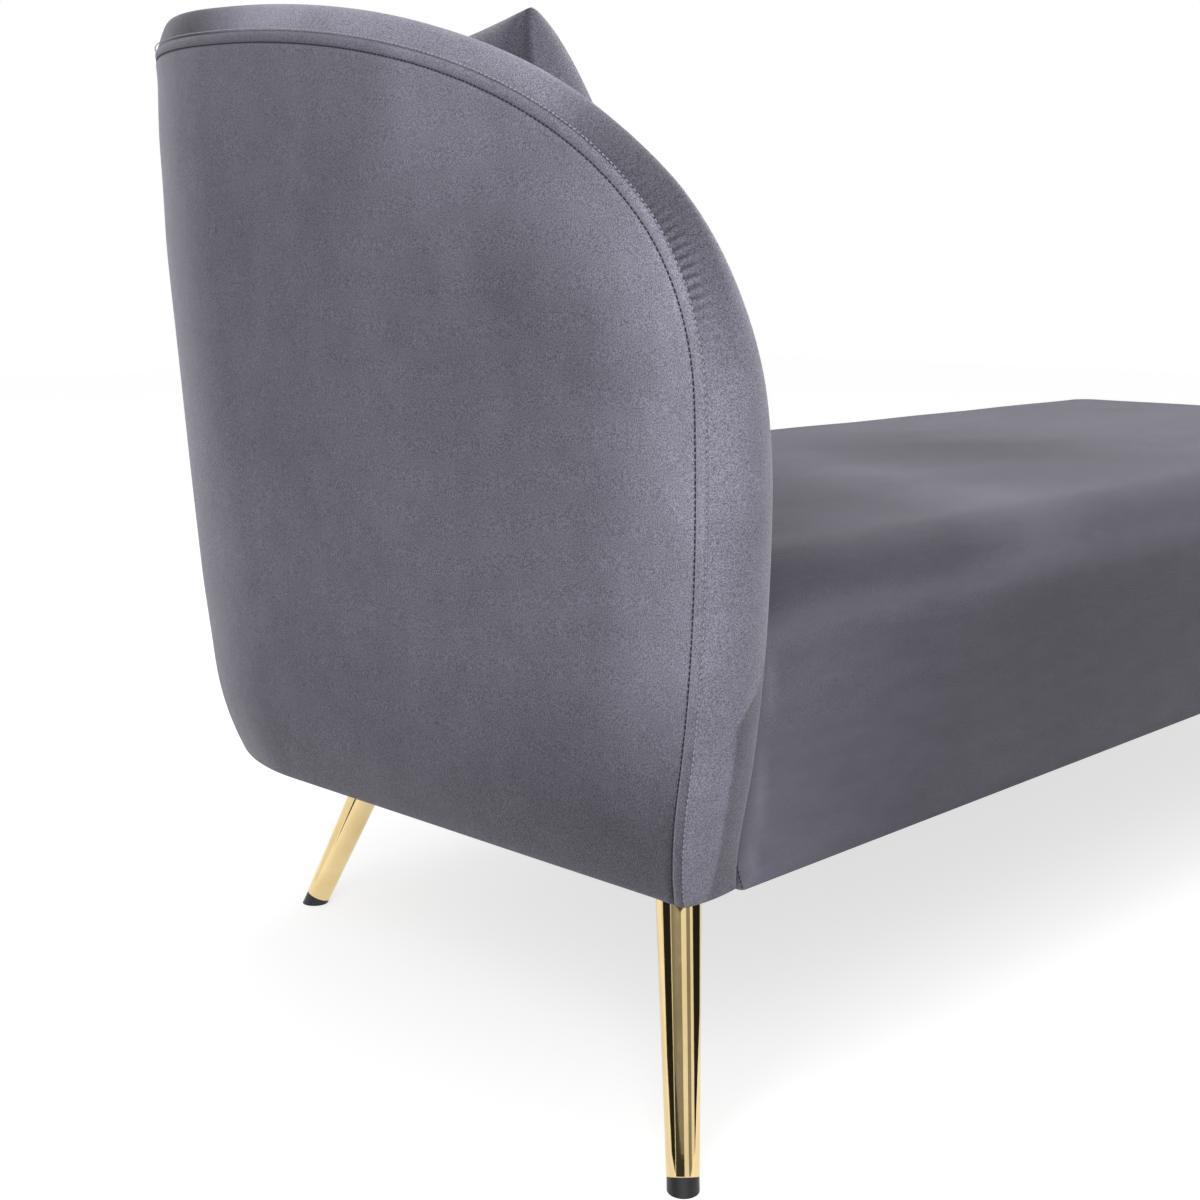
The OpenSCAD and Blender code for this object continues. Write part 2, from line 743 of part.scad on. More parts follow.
// Moulded plywood panel that stiffens the shell
module shell_panel() {
    color("tan") placed() difference() {
        wall_layer(rail_z, panel_edge, panel_in, panel_in + panel_t, panel_face, panel_face);
        for (p = shell_screw_places)
            translate([p[0][0], p[0][1], shell_screw_z])
                rotate([0, 90, p[1]])
                    cylinder(d = shell_screw_d + 2 * hole_gap, h = shell_screw_l + gap, $fn = 12);
    }
}

// Screws through the rails into the shell panel
module shell_screws() {
    head = shell_screw_d * head_h_share;
    color("silver") placed()
        for (p = shell_screw_places)
            translate([p[0][0], p[0][1], shell_screw_z])
                rotate([0, 90, p[1]]) union() {
                    cylinder(d = shell_screw_d, h = shell_screw_l - over, $fn = 24);
                    translate([0, 0, -head]) cylinder(d = 2 * shell_screw_d, h = head, $fn = 24);
                }
}

// Padding between the panel and the outside cover
module outside_felt() {
    color("khaki") placed()
        wall_layer(
            rail_z, panel_edge + gap, cover_t + layer_gap, panel_in - gap,
            outer_face, panel_face
        );
}

// Velvet over the outside of the back
module outside_cover() {
    color("slategray") placed() wall_layer(leg_h, cover_t + gap, 0, cover_t, outer_face, outer_face);
}

// Foam on the inside of the back
module inside_foam() {
    near = panel_in + panel_t + gap;
    far = wall_t - cover_t - layer_gap;
    color("khaki") placed()
        wall_layer(foam_z, panel_edge + gap, near, far, panel_face, inner_face);
}

// Velvet over the inside of the back, tucked down behind the seat
module inside_cover() {
    color("lightslategray") placed()
        wall_layer(foam_z, cover_t + gap, wall_t - cover_t, wall_t, inner_face, inner_face);
}

// Foam roll round the panel's edge
module edge_roll() {
    color("khaki") placed()
        band_solid(cover_t + layer_gap, cover_t + gap, panel_edge - layer_gap, false);
}

// Velvet band round the edge of the back
module band_cover() {
    color("slategray") placed() band_solid(0, 0, cover_t, true);
}

// The pillow's form at an inset: a crowned square whose sides draw in
pillow_n = 14;
// Shape of the pillow's crown: less is fuller towards its edges
pillow_power = 0.36;
function pillow_point(u, v, side, inset) =
    let (
        half = pillow_w / 2 - inset,
        ease_u = 1 - pillow_draw / half * (1 - u * u) * abs(v),
        ease_v = 1 - pillow_draw / half * (1 - v * v) * abs(u),
        t = (pillow_t / 2 - inset) * pow((1 - u * u) * (1 - v * v), pillow_power)
    )
    [half * u * ease_v, half * v * ease_u, side * t];
function pillow_grid(side, inset) = [
    for (i = [0:pillow_n], j = [0:pillow_n])
        pillow_point(sin(90 * (2 * i / pillow_n - 1)), sin(90 * (2 * j / pillow_n - 1)), side, inset)
];
module pillow_form(inset) {
    m = pillow_n + 1;
    n = m * m;
    quads = [for (i = [0:pillow_n - 1], j = [0:pillow_n - 1]) i * m + j];
    rim = concat(
        [for (i = [0:pillow_n - 1]) i * m],
        [for (j = [0:pillow_n - 1]) pillow_n * m + j],
        [for (i = [pillow_n:-1:1]) i * m + pillow_n],
        [for (j = [pillow_n:-1:1]) j]
    );
    e = len(rim);
    // The two faces stand a hair apart along the seam
    seam = cover_t / 2;
    polyhedron(
        points = concat(
            [for (p = pillow_grid(1, inset)) p + [0, 0, seam]],
            [for (p = pillow_grid(-1, inset)) p - [0, 0, seam]]
        ),
        faces = concat(
            [for (a = quads) each [[a, a + 1, a + m], [a + 1, a + m + 1, a + m]]],
            [for (q = quads) let (a = q + n) each [[a, a + m, a + 1], [a + 1, a + m, a + m + 1]]],
            [for (k = [0:e - 1]) let (a = rim[k], b = rim[(k + 1) % e])
                each [[a, b, b + n], [a, b + n, a + n]]]
        ),
        convexity = 4
    );
}
// Stands the pillow on the seat, leaning into the rear left corner
pillow_turn = 71.9;
// Share of the seat's crown that is reached under the pillow
pillow_crown_share = 0.94;
pillow_z = seat_h + seat_crown * pillow_crown_share + gap + pillow_w / 2 * cos(pillow_lean);
pillow_x = pillow_near_x + pillow_w / 2 * cos(pillow_turn);
pillow_y = pillow_far_y - pillow_w / 2 * sin(pillow_turn);
module pillow_place() {
    translate([pillow_x, pillow_y, pillow_z])
        rotate([0, 0, pillow_turn])
            rotate([90 - pillow_lean, 0, 0]) children();
}

// Velvet cover of the loose pillow
module pillow_cover() {
    color("slategray") placed() pillow_place() difference() {
        pillow_form(0);
        pillow_form(cover_t);
    }
}

// Fibre filling of the loose pillow
module pillow_filling() {
    color("whitesmoke") placed() pillow_place() pillow_form(cover_t + gap);
}

rail_right();
rail_left();
rail_head();
rail_foot();
head_bend();
foot_bends();
cross_rails();
corner_blocks();
frame_dowels();
leg_plates();
plate_screws();
leg_rear_right();
leg_rear_left();
leg_foot_right();
leg_foot_left();
tip_rear_right();
tip_rear_left();
tip_foot_right();
tip_foot_left();
webbing_cross();
webbing_long();
seat_felt();
seat_foam();
side_padding();
seat_cover();
dust_cover();
shell_panel();
shell_screws();
outside_felt();
outside_cover();
inside_foam();
inside_cover();
edge_roll();
band_cover();
pillow_cover();
pillow_filling();
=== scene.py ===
from math import atan2, cos, pi, radians, sin, tan

import bmesh
import bpy
import numpy as np
from mathutils import Matrix, Vector
from mathutils.geometry import delaunay_2d_cdt
from mathutils.kdtree import KDTree


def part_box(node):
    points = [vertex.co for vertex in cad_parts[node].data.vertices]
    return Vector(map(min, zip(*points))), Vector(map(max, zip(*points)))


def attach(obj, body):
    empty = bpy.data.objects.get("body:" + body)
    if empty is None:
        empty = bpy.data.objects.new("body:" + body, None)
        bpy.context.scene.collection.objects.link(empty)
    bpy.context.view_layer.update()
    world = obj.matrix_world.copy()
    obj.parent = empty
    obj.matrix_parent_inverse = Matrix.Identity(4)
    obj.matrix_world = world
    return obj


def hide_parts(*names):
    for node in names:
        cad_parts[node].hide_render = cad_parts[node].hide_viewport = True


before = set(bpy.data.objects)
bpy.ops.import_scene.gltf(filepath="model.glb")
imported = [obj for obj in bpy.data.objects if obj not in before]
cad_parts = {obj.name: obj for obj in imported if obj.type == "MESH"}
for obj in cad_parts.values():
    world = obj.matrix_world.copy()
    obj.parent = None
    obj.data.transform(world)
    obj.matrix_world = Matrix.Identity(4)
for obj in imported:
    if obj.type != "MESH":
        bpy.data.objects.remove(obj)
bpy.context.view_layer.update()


# Viewpoint
# The camera stands behind the rear right corner, above the back's middle, and
# looks across the piece, halfway between its length and its width, slightly down.
base_length = 1.780
camera_behind, camera_aside, camera_height = 0.905, 0.800, 0.653
seat_low, seat_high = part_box("seat_cover")
rear_x = seat_high.x - base_length
right_y = seat_low.y
camera_pitch = radians(10.62)
heading = Vector((0.7156, 0.6985, 0)).normalized()
gaze = heading * cos(camera_pitch) - Vector((0, 0, sin(camera_pitch)))
camera = bpy.data.objects.new("camera", bpy.data.cameras.new("camera"))
camera.data.sensor_width = 36
camera.data.lens = 52.8
camera.location = (rear_x - camera_behind, right_y - camera_aside, camera_height)
camera.rotation_euler = gaze.to_track_quat("-Z", "Y").to_euler()
bpy.context.scene.collection.objects.link(camera)
bpy.context.scene.camera = camera
bpy.context.scene.view_settings.view_transform = "Standard"


# Wooden base
# Planed beech rails and cross rails, dowelled and glued into a flat frame.
# Laminated bends close its round corners, and blocks take the leg screws.
def colour_of(red, green, blue):
    """A colour as it shows, 0 to 255, in the linear numbers that a shader takes."""
    return tuple(((c / 255 + 0.055) / 1.055) ** 2.4 for c in (red, green, blue))


def finish_of(name, colour, roughness, **sockets):
    """A material with the values that are the same all over it."""
    material = bpy.data.materials.new(name)
    material.use_nodes = True
    shader = material.node_tree.nodes["Principled BSDF"]
    shader.inputs["Base Color"].default_value = (*colour, 1)
    shader.inputs["Roughness"].default_value = roughness
    for socket, value in sockets.items():
        shader.inputs[socket.replace("_", " ")].default_value = value
    return material


def pattern(material, kind, scale, stretch=(1, 1, 1), **settings):
    """A texture laid through the piece by its own place, in repeats per metre."""
    tree = material.node_tree
    place = tree.nodes.new("ShaderNodeTexCoord")
    laid = tree.nodes.new("ShaderNodeMapping")
    laid.inputs["Scale"].default_value = stretch
    texture = tree.nodes.new("ShaderNodeTex" + kind)
    texture.inputs["Scale"].default_value = scale
    for socket, value in settings.items():
        texture.inputs[socket].default_value = value
    tree.links.new(place.outputs["Object"], laid.inputs["Vector"])
    tree.links.new(laid.outputs["Vector"], texture.inputs["Vector"])
    return texture.outputs[0]


def shade_between(material, amount, low, high, from_amount=0.3, to_amount=0.7):
    """A colour that runs from low to high as the amount goes from one value to another."""
    ramp = material.node_tree.nodes.new("ShaderNodeValToRGB")
    ramp.color_ramp.elements[0].position = from_amount
    ramp.color_ramp.elements[1].position = to_amount
    ramp.color_ramp.elements[0].color = (*low, 1)
    ramp.color_ramp.elements[1].color = (*high, 1)
    material.node_tree.links.new(amount, ramp.inputs["Fac"])
    return ramp.outputs["Color"]


def multiply(material, first, second):
    """Two colours laid over each other."""
    mix = material.node_tree.nodes.new("ShaderNodeMix")
    mix.data_type = "RGBA"
    mix.blend_type = "MULTIPLY"
    mix.inputs["Factor"].default_value = 1
    material.node_tree.links.new(first, mix.inputs["A"])
    material.node_tree.links.new(second, mix.inputs["B"])
    return mix.outputs["Result"]


def set_input(material, socket, value):
    """Makes a finish follow a pattern instead of one value."""
    shader = material.node_tree.nodes["Principled BSDF"]
    material.node_tree.links.new(value, shader.inputs[socket])


def tint(material, amount, low, high, from_amount=0.3, to_amount=0.7):
    """Colours a material from low to high by the amount."""
    shade = shade_between(material, amount, low, high, from_amount, to_amount)
    set_input(material, "Base Color", shade)


def raise_surface(material, amount, height):
    """Small relief in the surface, height in metres, over any that is there already."""
    tree = material.node_tree
    shader = tree.nodes["Principled BSDF"]
    bump = tree.nodes.new("ShaderNodeBump")
    bump.inputs["Distance"].default_value = height
    if shader.inputs["Normal"].links:
        tree.links.new(shader.inputs["Normal"].links[0].from_socket, bump.inputs["Normal"])
    tree.links.new(amount, bump.inputs["Height"])
    tree.links.new(bump.outputs["Normal"], shader.inputs["Normal"])


pores_per_metre = 420


def timber(name, light, dark, stretch, rings_per_metre=26):
    """Planed wood whose grain runs along the axis with the small stretch."""
    material = finish_of(name, light, 0.55)
    growth = pattern(material, "Wave", rings_per_metre, stretch, Distortion=5.0, Detail=3.0)
    pores = pattern(material, "Noise", pores_per_metre, stretch, Detail=2.0)
    grain = shade_between(material, growth, dark, light, 0.1, 0.9)
    specks = shade_between(material, pores, (0.72, 0.7, 0.68), (1, 1, 1), 0.38, 0.5)
    set_input(material, "Base Color", multiply(material, grain, specks))
    raise_surface(material, pores, 0.0003)
    return material


def dress(material, *nodes):
    """Gives a finish to pieces whose shape is the frame's own."""
    for node in nodes:
        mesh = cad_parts[node].data
        mesh.materials.clear()
        mesh.materials.append(material)


beech_light, beech_dark = colour_of(206, 170, 126), colour_of(176, 136, 94)
dress(timber("beech_along", beech_light, beech_dark, (0.06, 1, 1)), "rail_right", "rail_left")
dress(
    timber("beech_across", beech_light, beech_dark, (1, 0.06, 1)),
    "rail_head", "rail_foot", "cross_rails", "corner_blocks", "frame_dowels",
)
dress(
    timber("bent_veneers", colour_of(214, 184, 142), colour_of(160, 122, 82), (0.1, 0.1, 1), 90),
    "head_bend", "foot_bends",
)


# Leg plates and screws
# Pressed steel plates screwed up into the corner blocks from below, and the
# zinc plated screws that hold them and the back's shell.
def steel_finish(name, colour, roughness):
    """Rolled steel with fine lines along it and duller worn patches."""
    material = finish_of(name, colour, roughness, Metallic=1.0)
    rolled = pattern(material, "Noise", 900, (0.03, 1, 1), Detail=2.0)
    worn = pattern(material, "Noise", 60, Detail=4.0)
    dull = tuple(c * 0.72 for c in colour)
    tint(material, worn, dull, colour)
    raise_surface(material, rolled, 0.0001)
    return material


dress(steel_finish("plate_steel", colour_of(150, 152, 156), 0.42), "leg_plates")
dress(steel_finish("zinc", colour_of(196, 196, 190), 0.3), "plate_screws", "shell_screws")


# Shell panel
# Moulded plywood, bent round the rear left corner and screwed to the rails
# from inside. It carries the padding of the back.
dress(
    timber("moulded_plywood", colour_of(220, 192, 152), colour_of(196, 160, 116), (1, 1, 0.08), 34),
    "shell_panel",
)


# Webbing
# Elastic straps stapled on the rails' top edges, ribbed, with coloured lines
# woven along them. The long ones run over the cross ones.
def even_steps(start, end, spacing):
    """Places from start to end, evenly spread and about the spacing apart."""
    return np.linspace(start, end, max(2, int(round(abs(end - start) / spacing)) + 1))


def piece_of(name, mesh, material):
    """Puts a mesh in the scene as a smooth piece of one finish."""
    mesh.shade_smooth()
    mesh.materials.append(material)
    piece = bpy.data.objects.new(name, mesh)
    bpy.context.scene.collection.objects.link(piece)
    return piece


def mesh_of(name, material, parts, away_from=None, thickness=0, offset=-1):
    """One piece from grids of points, or from points with their faces, welded where
    they meet. It faces away from a point. A thickness gives cloth its body, inside
    the points or, with no offset, half on either side."""
    points, faces = [], []
    for part in parts:
        start = len(points)
        if isinstance(part, tuple):
            points.extend(part[0].tolist())
            faces.extend([start + k for k in face] for face in part[1])
            continue
        rows, columns = part.shape[:2]
        points.extend(part.reshape(-1, 3).tolist())
        corner = start + np.arange(rows * columns).reshape(rows, columns)[:-1, :-1].ravel()
        faces.extend(np.stack([corner, corner + 1, corner + columns + 1, corner + columns], 1).tolist())
    mesh = bpy.data.meshes.new(name)
    mesh.from_pydata(points, [], faces)
    work = bmesh.new()
    work.from_mesh(mesh)
    bmesh.ops.remove_doubles(work, verts=work.verts, dist=1e-5)
    bmesh.ops.dissolve_degenerate(work, edges=work.edges, dist=1e-7)
    bmesh.ops.recalc_face_normals(work, faces=work.faces)
    if away_from is not None:
        point = Vector(away_from)
        facing = sum(f.normal.dot(f.calc_center_median() - point) * f.calc_area() for f in work.faces)
        if facing < 0:
            bmesh.ops.reverse_faces(work, faces=work.faces)
    work.to_mesh(mesh)
    work.free()
    piece = piece_of(name, mesh, material)
    if thickness:
        body = piece.modifiers.new("thickness", "SOLIDIFY")
        body.thickness = thickness
        body.offset = offset
    return piece


def put_in_place(piece, slot, body, *nodes):
    """Hangs a piece under the body that carries it and hides the parts that it stands for. The slot is
    not used.
    """
    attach(piece, body)
    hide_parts(*nodes)
    return piece


def islands(node):
    """Boxes of the separate solids in a node, each as its lowest and highest corner."""
    work = bmesh.new()
    work.from_mesh(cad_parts[node].data)
    bmesh.ops.remove_doubles(work, verts=work.verts, dist=1e-6)
    left, found = set(work.verts), []
    while left:
        reached, edge = set(), [left.pop()]
        while edge:
            vertex = edge.pop()
            reached.add(vertex)
            for link in vertex.link_edges:
                other = link.other_vert(vertex)
                if other in left:
                    left.discard(other)
                    edge.append(other)
        places = np.array([v.co for v in reached])
        found.append((places.min(0), places.max(0)))
    work.free()
    return sorted(found, key=lambda box: tuple(np.round(box[0], 4)))


webbing_finish = finish_of("webbing", colour_of(206, 202, 190), 0.9, Sheen_Weight=0.2)
warp = pattern(webbing_finish, "Wave", 260, (1, 1, 0), Distortion=0.4)
tint(webbing_finish, warp, colour_of(150, 60, 52), colour_of(208, 203, 192), 0.04, 0.16)
raise_surface(webbing_finish, warp, 0.0004)
strap_step, strap_roundness = 0.012, 0.35


def strap(box, along):
    """A flat strap with soft edges, closed at its ends."""
    low, high = box
    across = 1 - along
    length = even_steps(low[along], high[along], strap_step)
    turn = np.linspace(0, 2 * pi, 33)
    half, thick = (high[across] - low[across]) / 2, (high[2] - low[2]) / 2
    wide, tall = (
        np.sign(swing) * np.abs(swing) ** strap_roundness * size
        for swing, size in ((np.cos(turn), half), (np.sin(turn), thick))
    )
    grid = np.zeros((len(length), len(turn), 3))
    grid[..., along] = length[:, None]
    grid[..., across] = (low[across] + half) + wide[None]
    grid[..., 2] = (low[2] + thick) + tall[None]
    ends = [grid[[0, 0]].copy(), grid[[-1, -1]].copy()]
    for end, closed in zip(ends, (0, 1)):
        end[closed] = end[0].mean(0)
    return [ends[0], grid, ends[1]]


for node, along in (("webbing_cross", 1), ("webbing_long", 0)):
    straps = [grid for box in islands(node) for grid in strap(box, along)]
    put_in_place(mesh_of(node + "_straps", webbing_finish, straps), "webbing", "chaise", node)


# Padding of the back
# Felt over the outside of the shell, foam over its inside, and a soft roll
# round its edge that fills out the band between the two.
base_width, leg_height = 0.710, 0.200
corner_radius, wall_thickness, top_thickness = 0.236, 0.072, 0.036
rear_lean, side_lean = radians(2), radians(3.9)
belly, belly_height, belly_power = 0.019, 0.100, 2.2
seam_top, spring_height, arch_power = 0.849, 0.557, 2.27
crown_run, wing_run, edge_flare, flare_power = 0.550, 0.750, 0.043, 2.4
rear_run = base_width - corner_radius
deck_height = 0.3006
foot_draw = 0.010
top_roll_in, side_fullness = 0.0065, 0.003
cover_room, pad_inset = 0.0034, 0.0183


def smooth(value):
    """A soft step from 0 to 1."""
    value = np.clip(value, 0, 1)
    return value * value * (3 - 2 * value)


def above(value, start, over):
    """0 up to a value, then softly up to 1 over a length past it."""
    return smooth((value - start) / over)


def below(value, start, over):
    """0 down to a value, then softly up to 1 over a length under it."""
    return smooth((start - value) / over)


def near(value, centre, width):
    """1 at a value and softly down to 0 on both sides of it."""
    return np.exp(-((value - centre) / width) ** 2)


def thickness_at(height):
    """The padded wall is thick at the seat, thins towards its top and is drawn in a
    little where its covers are pulled down to the base."""
    thinned = (wall_thickness - top_thickness) * above(height, 0.500, 0.260)
    return wall_thickness - thinned - foot_draw * below(height, 0.300, 0.100)


def swell(height):
    """How far the padding swells out above the tucked bottom edge."""
    rise = np.clip(1 - (height - leg_height) / belly_height, 0, None)
    return belly * (1 - np.minimum(rise, 1.3) ** belly_power)


def corner_roll(run, height):
    """How far the outer face round the corner rolls in under the band, or stands a
    little full below that."""
    full = side_fullness * above(height, 0.28, 0.10) * (1 - above(height, 0.66, 0.10))
    return (top_roll_in * above(height, 0.74, 0.11) ** 1.3 - full) * above(run, 0.36, 0.14)


def wall(run, height, depth):
    """A point of the wall: run along its foot from the right edge, height over the
    floor, and depth inside its outer face."""
    outer_share = np.clip(1 - depth / top_thickness, 0, 1)
    depth = depth - swell(height) + corner_roll(run, height) * outer_share
    side = tan(side_lean) * (height - leg_height)
    turn = np.clip((run - rear_run) / corner_radius, 0, pi / 2)
    radius = corner_radius - depth
    past = run - rear_run - turn * corner_radius
    share = np.clip(run / rear_run, 0, 1)
    x = -tan(rear_lean) * (height - leg_height) + corner_radius - radius * np.cos(turn)
    y = rear_run + radius * np.sin(turn) + np.minimum(past, 0) + side * share
    return np.stack([rear_x + x + np.maximum(past, 0), right_y + y, height + 0 * run], -1)


def length_along(line):
    """How far along a line each of its points lies."""
    return np.concatenate([[0], np.cumsum(np.linalg.norm(np.diff(line, axis=0), axis=1))])


def spread(line, count):
    """A line of points, shared out evenly over its length."""
    length = length_along(line)
    wanted = np.linspace(0, length[-1], count)
    return np.stack([np.interp(wanted, length, line[:, k]) for k in range(line.shape[1])], 1)


def seam_line(low):
    """The seam round the back in the wall's own plane, as run and height: up the
    right edge from a height, over the arch and down the wing."""
    up = np.linspace(low, spring_height, 80)
    still_to_go = 1 - (up - leg_height) / (spring_height - leg_height)
    lag = edge_flare * np.clip(still_to_go, 0, None) ** flare_power
    turn = np.linspace(-pi / 2, pi / 2, 1441)[1:-1]
    half = np.where(turn < 0, crown_run + edge_flare, wing_run)
    rise = (1 - np.abs(np.sin(turn)) ** arch_power) ** (1 / arch_power)
    over = spring_height + (seam_top - spring_height) * rise
    return np.concatenate([
        np.stack([lag - edge_flare, up], 1),
        np.stack([crown_run + half * np.sin(turn), over], 1),
        np.stack([0 * up + crown_run + wing_run, up[::-1]], 1),
    ])


def inward(line):
    """Directions that point from the seam into the panel, level at its two ends."""
    along = np.gradient(line, axis=0)
    along /= np.linalg.norm(along, axis=1)[:, None]
    square = np.stack([along[:, 1], -along[:, 0]], 1)
    for end, way in ((slice(0, 3), 1), (slice(-3, None), -1)):
        square[end] = (way, 0)
    return square


side_length, top_length = 0.51, 1.25


def panel_grids(low, depth_at, insets, spacing):
    """Grids that fill the back's outline above a height: rings that follow the seam
    at the insets, and a field inside the last ring. depth_at(inset, run, height) gives
    their depth in the wall. The run and depth of the lowest row come with them."""
    line = seam_line(low)
    slope = np.gradient(line[:, 0]), np.gradient(line[:, 1])
    steep = np.abs(slope[1]) > np.abs(slope[0])
    first, last = np.argmin(steep), len(steep) - np.argmin(steep[::-1])
    side_count, top_count = int(side_length / spacing), int(top_length / spacing)
    line = np.concatenate([
        spread(line[:first], side_count)[:-1],
        spread(line[first - 1:last], top_count)[:-1],
        spread(line[last - 1:], side_count),
    ])
    normal = inward(line)
    rings = np.stack([line + normal * inset for inset in insets])
    rings[:, [0, -1], 1] = low
    depths = np.stack([
        depth_at(inset, ring[:, 0], ring[:, 1]) for inset, ring in zip(insets, rings)
    ])
    border = wall(rings[..., 0], rings[..., 1], depths)
    edge = rings[-1]
    right, left = edge[:side_count], edge[-side_count:][::-1]
    top = edge[side_count - 1:side_count + top_count - 1]
    u = np.linspace(0, 1, len(top))
    v = np.linspace(0, 1, side_count)
    bottom = np.stack([right[0, 0] + (left[0, 0] - right[0, 0]) * u, 0 * u + low], 1)
    U, V = u[None, :, None], v[:, None, None]
    field = (
        (1 - V) * bottom[None] + V * top[None] + (1 - U) * right[:, None] + U * left[:, None]
        - (1 - U) * (1 - V) * right[0] - U * (1 - V) * left[0]
        - (1 - U) * V * right[-1] - U * V * left[-1]
    )
    run, height = field[..., 0], field[..., 1]
    field_depth = depth_at(insets[-1], run, height)
    foot_run = np.concatenate([rings[:-1, 0, 0], run[0], rings[-2::-1, -1, 0]])
    foot_depth = np.concatenate([depths[:-1, 0], field_depth[0], depths[-2::-1, -1]])
    return border, wall(run, height, field_depth), foot_run, foot_depth


foam_finish = finish_of("foam", colour_of(222, 214, 178), 0.95)
cells = pattern(foam_finish, "Voronoi", 900)
patches = pattern(foam_finish, "Noise", 14, Detail=3.0)
cell_shade = shade_between(foam_finish, cells, (0.7, 0.68, 0.6), (1, 1, 1), 0.05, 0.45)
foam_tone = shade_between(foam_finish, patches, colour_of(206, 196, 156), colour_of(226, 219, 186))
set_input(foam_finish, "Base Color", multiply(foam_finish, foam_tone, cell_shade))
raise_surface(foam_finish, cells, 0.0006)

felt_finish = finish_of("felt", colour_of(150, 150, 148), 1.0, Sheen_Weight=0.3)
fibres = pattern(felt_finish, "Noise", 500, (1, 1, 1), Detail=4.0, Distortion=2.0)
tint(felt_finish, fibres, colour_of(96, 98, 104), colour_of(176, 174, 170))
raise_surface(felt_finish, fibres, 0.0005)


shell_depth, shell_thickness, shell_lean_share, glue_gap = 0.010, 0.012, 0.55, 0.0003


def shell_face(height):
    """Depth of the plywood's outer face, which leans back less than the inside foam."""
    return shell_depth + swell(height) - shell_lean_share * (wall_thickness - thickness_at(height))


def pad_of_wall(name, low, inset, outer_depth, inner_depth, finish):
    """A pad of the wall between two depths, rounded over at its edge."""
    insets = inset + np.array([0, 0.001, 0.003, 0.006, 0.01, 0.016])

    def face(side):
        def depth(reach, run, height):
            bow = side * (1 - (1 - min(1, (reach - inset) / 0.01)) ** 2) ** 0.5
            return (outer_depth(height) * (1 - bow) + inner_depth(height) * (1 + bow)) / 2
        return panel_grids(low, depth, insets, 0.014)[:2]

    outer, inner = face(-1), face(1)
    ends = [np.stack([outer[0][:, side], inner[0][:, side]]) for side in (0, -1)]
    bottom = np.stack([outer[1][0], inner[1][0]])
    return mesh_of(name, finish, [*outer, *inner, ends[0], bottom, ends[1]])


outside_pad = pad_of_wall(
    "outside_padding", leg_height + 0.004, pad_inset,
    lambda height: cover_room + 0 * height,
    lambda height: shell_face(height) - glue_gap,
    felt_finish,
)
put_in_place(outside_pad, "felt", "chaise", "outside_felt")
inside_pad = pad_of_wall(
    "inside_foam_pad", deck_height, pad_inset,
    lambda height: shell_face(height) + shell_thickness + glue_gap,
    lambda height: thickness_at(height) - cover_room,
    foam_finish,
)
put_in_place(inside_pad, "foam", "chaise", "inside_foam")


band_puff, arch_puff, shoulder_puff = 0.013, 0.010, 0.0035


def band_rise(line):
    """How far the band puffs out along the seam: most over the arch, least at its feet."""
    half = np.where(line[:, 0] < crown_run, crown_run + edge_flare, wing_run)
    from_crown = np.clip(np.abs(line[:, 0] - crown_run) / half, 0, 1)
    over_arch = np.where(line[:, 1] > spring_height, 1 - from_crown ** 2, 0)
    crown = band_puff + arch_puff * over_arch ** 1.25
    up = np.clip((line[:, 1] - leg_height) / (spring_height - leg_height), 0, 1)
    right = line[:, 0] < crown_run
    deck = np.clip((line[:, 1] - deck_height) / (spring_height - deck_height), 0, 1)
    fuller = shoulder_puff * near(line[:, 1], 0.675, 0.055) * right
    return crown * np.where(right, 0.25 + 0.75 * up ** 0.5, deck ** 2) + fuller


def band_line(spacing):
    """The band's path: it starts lower at the right edge than at the wing."""
    line = spread(seam_line(leg_height + 0.0005), 4000)
    keep = (line[:, 0] < crown_run) | (line[:, 1] > deck_height + 0.0005)
    line = line[keep]
    return spread(line, int(length_along(line)[-1] / spacing))


def band_section(line, across):
    """How full the band is across its width, 0 to 1: full over the arch, rounder
    where it comes round the corner and down the wing."""
    power = 0.7 + 0.45 * above(line[:, 0], 0.45, 0.15)
    return np.sin(pi * np.clip(across, 0, 1)) ** power[:, None]


roll_line = band_line(0.012)
roll_turn = np.linspace(0, 2 * pi, 25)
roll_out = inward(roll_line)
roll_across = 0.5 - 0.5 * np.cos(roll_turn)
roll_puff = band_rise(roll_line)[:, None] * band_section(roll_line, roll_across[None])
roll_inset = np.where(np.sin(roll_turn) > 0, 0.0028 - roll_puff, 0.0171)
roll_run, roll_height = (roll_line[:, None, k] + roll_out[:, None, k] * roll_inset for k in (0, 1))
roll_depth = cover_room + (thickness_at(roll_height) - 2 * cover_room) * roll_across
roll_grid = wall(roll_run, roll_height, roll_depth)


def cap(row):
    """The end of a roll or strip: a ring of points closed on its middle."""
    return np.stack([row, np.broadcast_to(row.mean(0), row.shape)])


roll_parts = [roll_grid, cap(roll_grid[0])[::-1], cap(roll_grid[-1])]
edge_roll = mesh_of("edge_foam_roll", foam_finish, roll_parts)
put_in_place(edge_roll, "foam", "chaise", "edge_roll")


# Outside cover
# Grey velvet with a short dense pile, cut to the back's outline, seamed to the
# band and top-stitched with dark thread beside the seam. Its hem turns under.
velvet_tone, velvet_thickness = colour_of(103, 101, 112), 0.0020


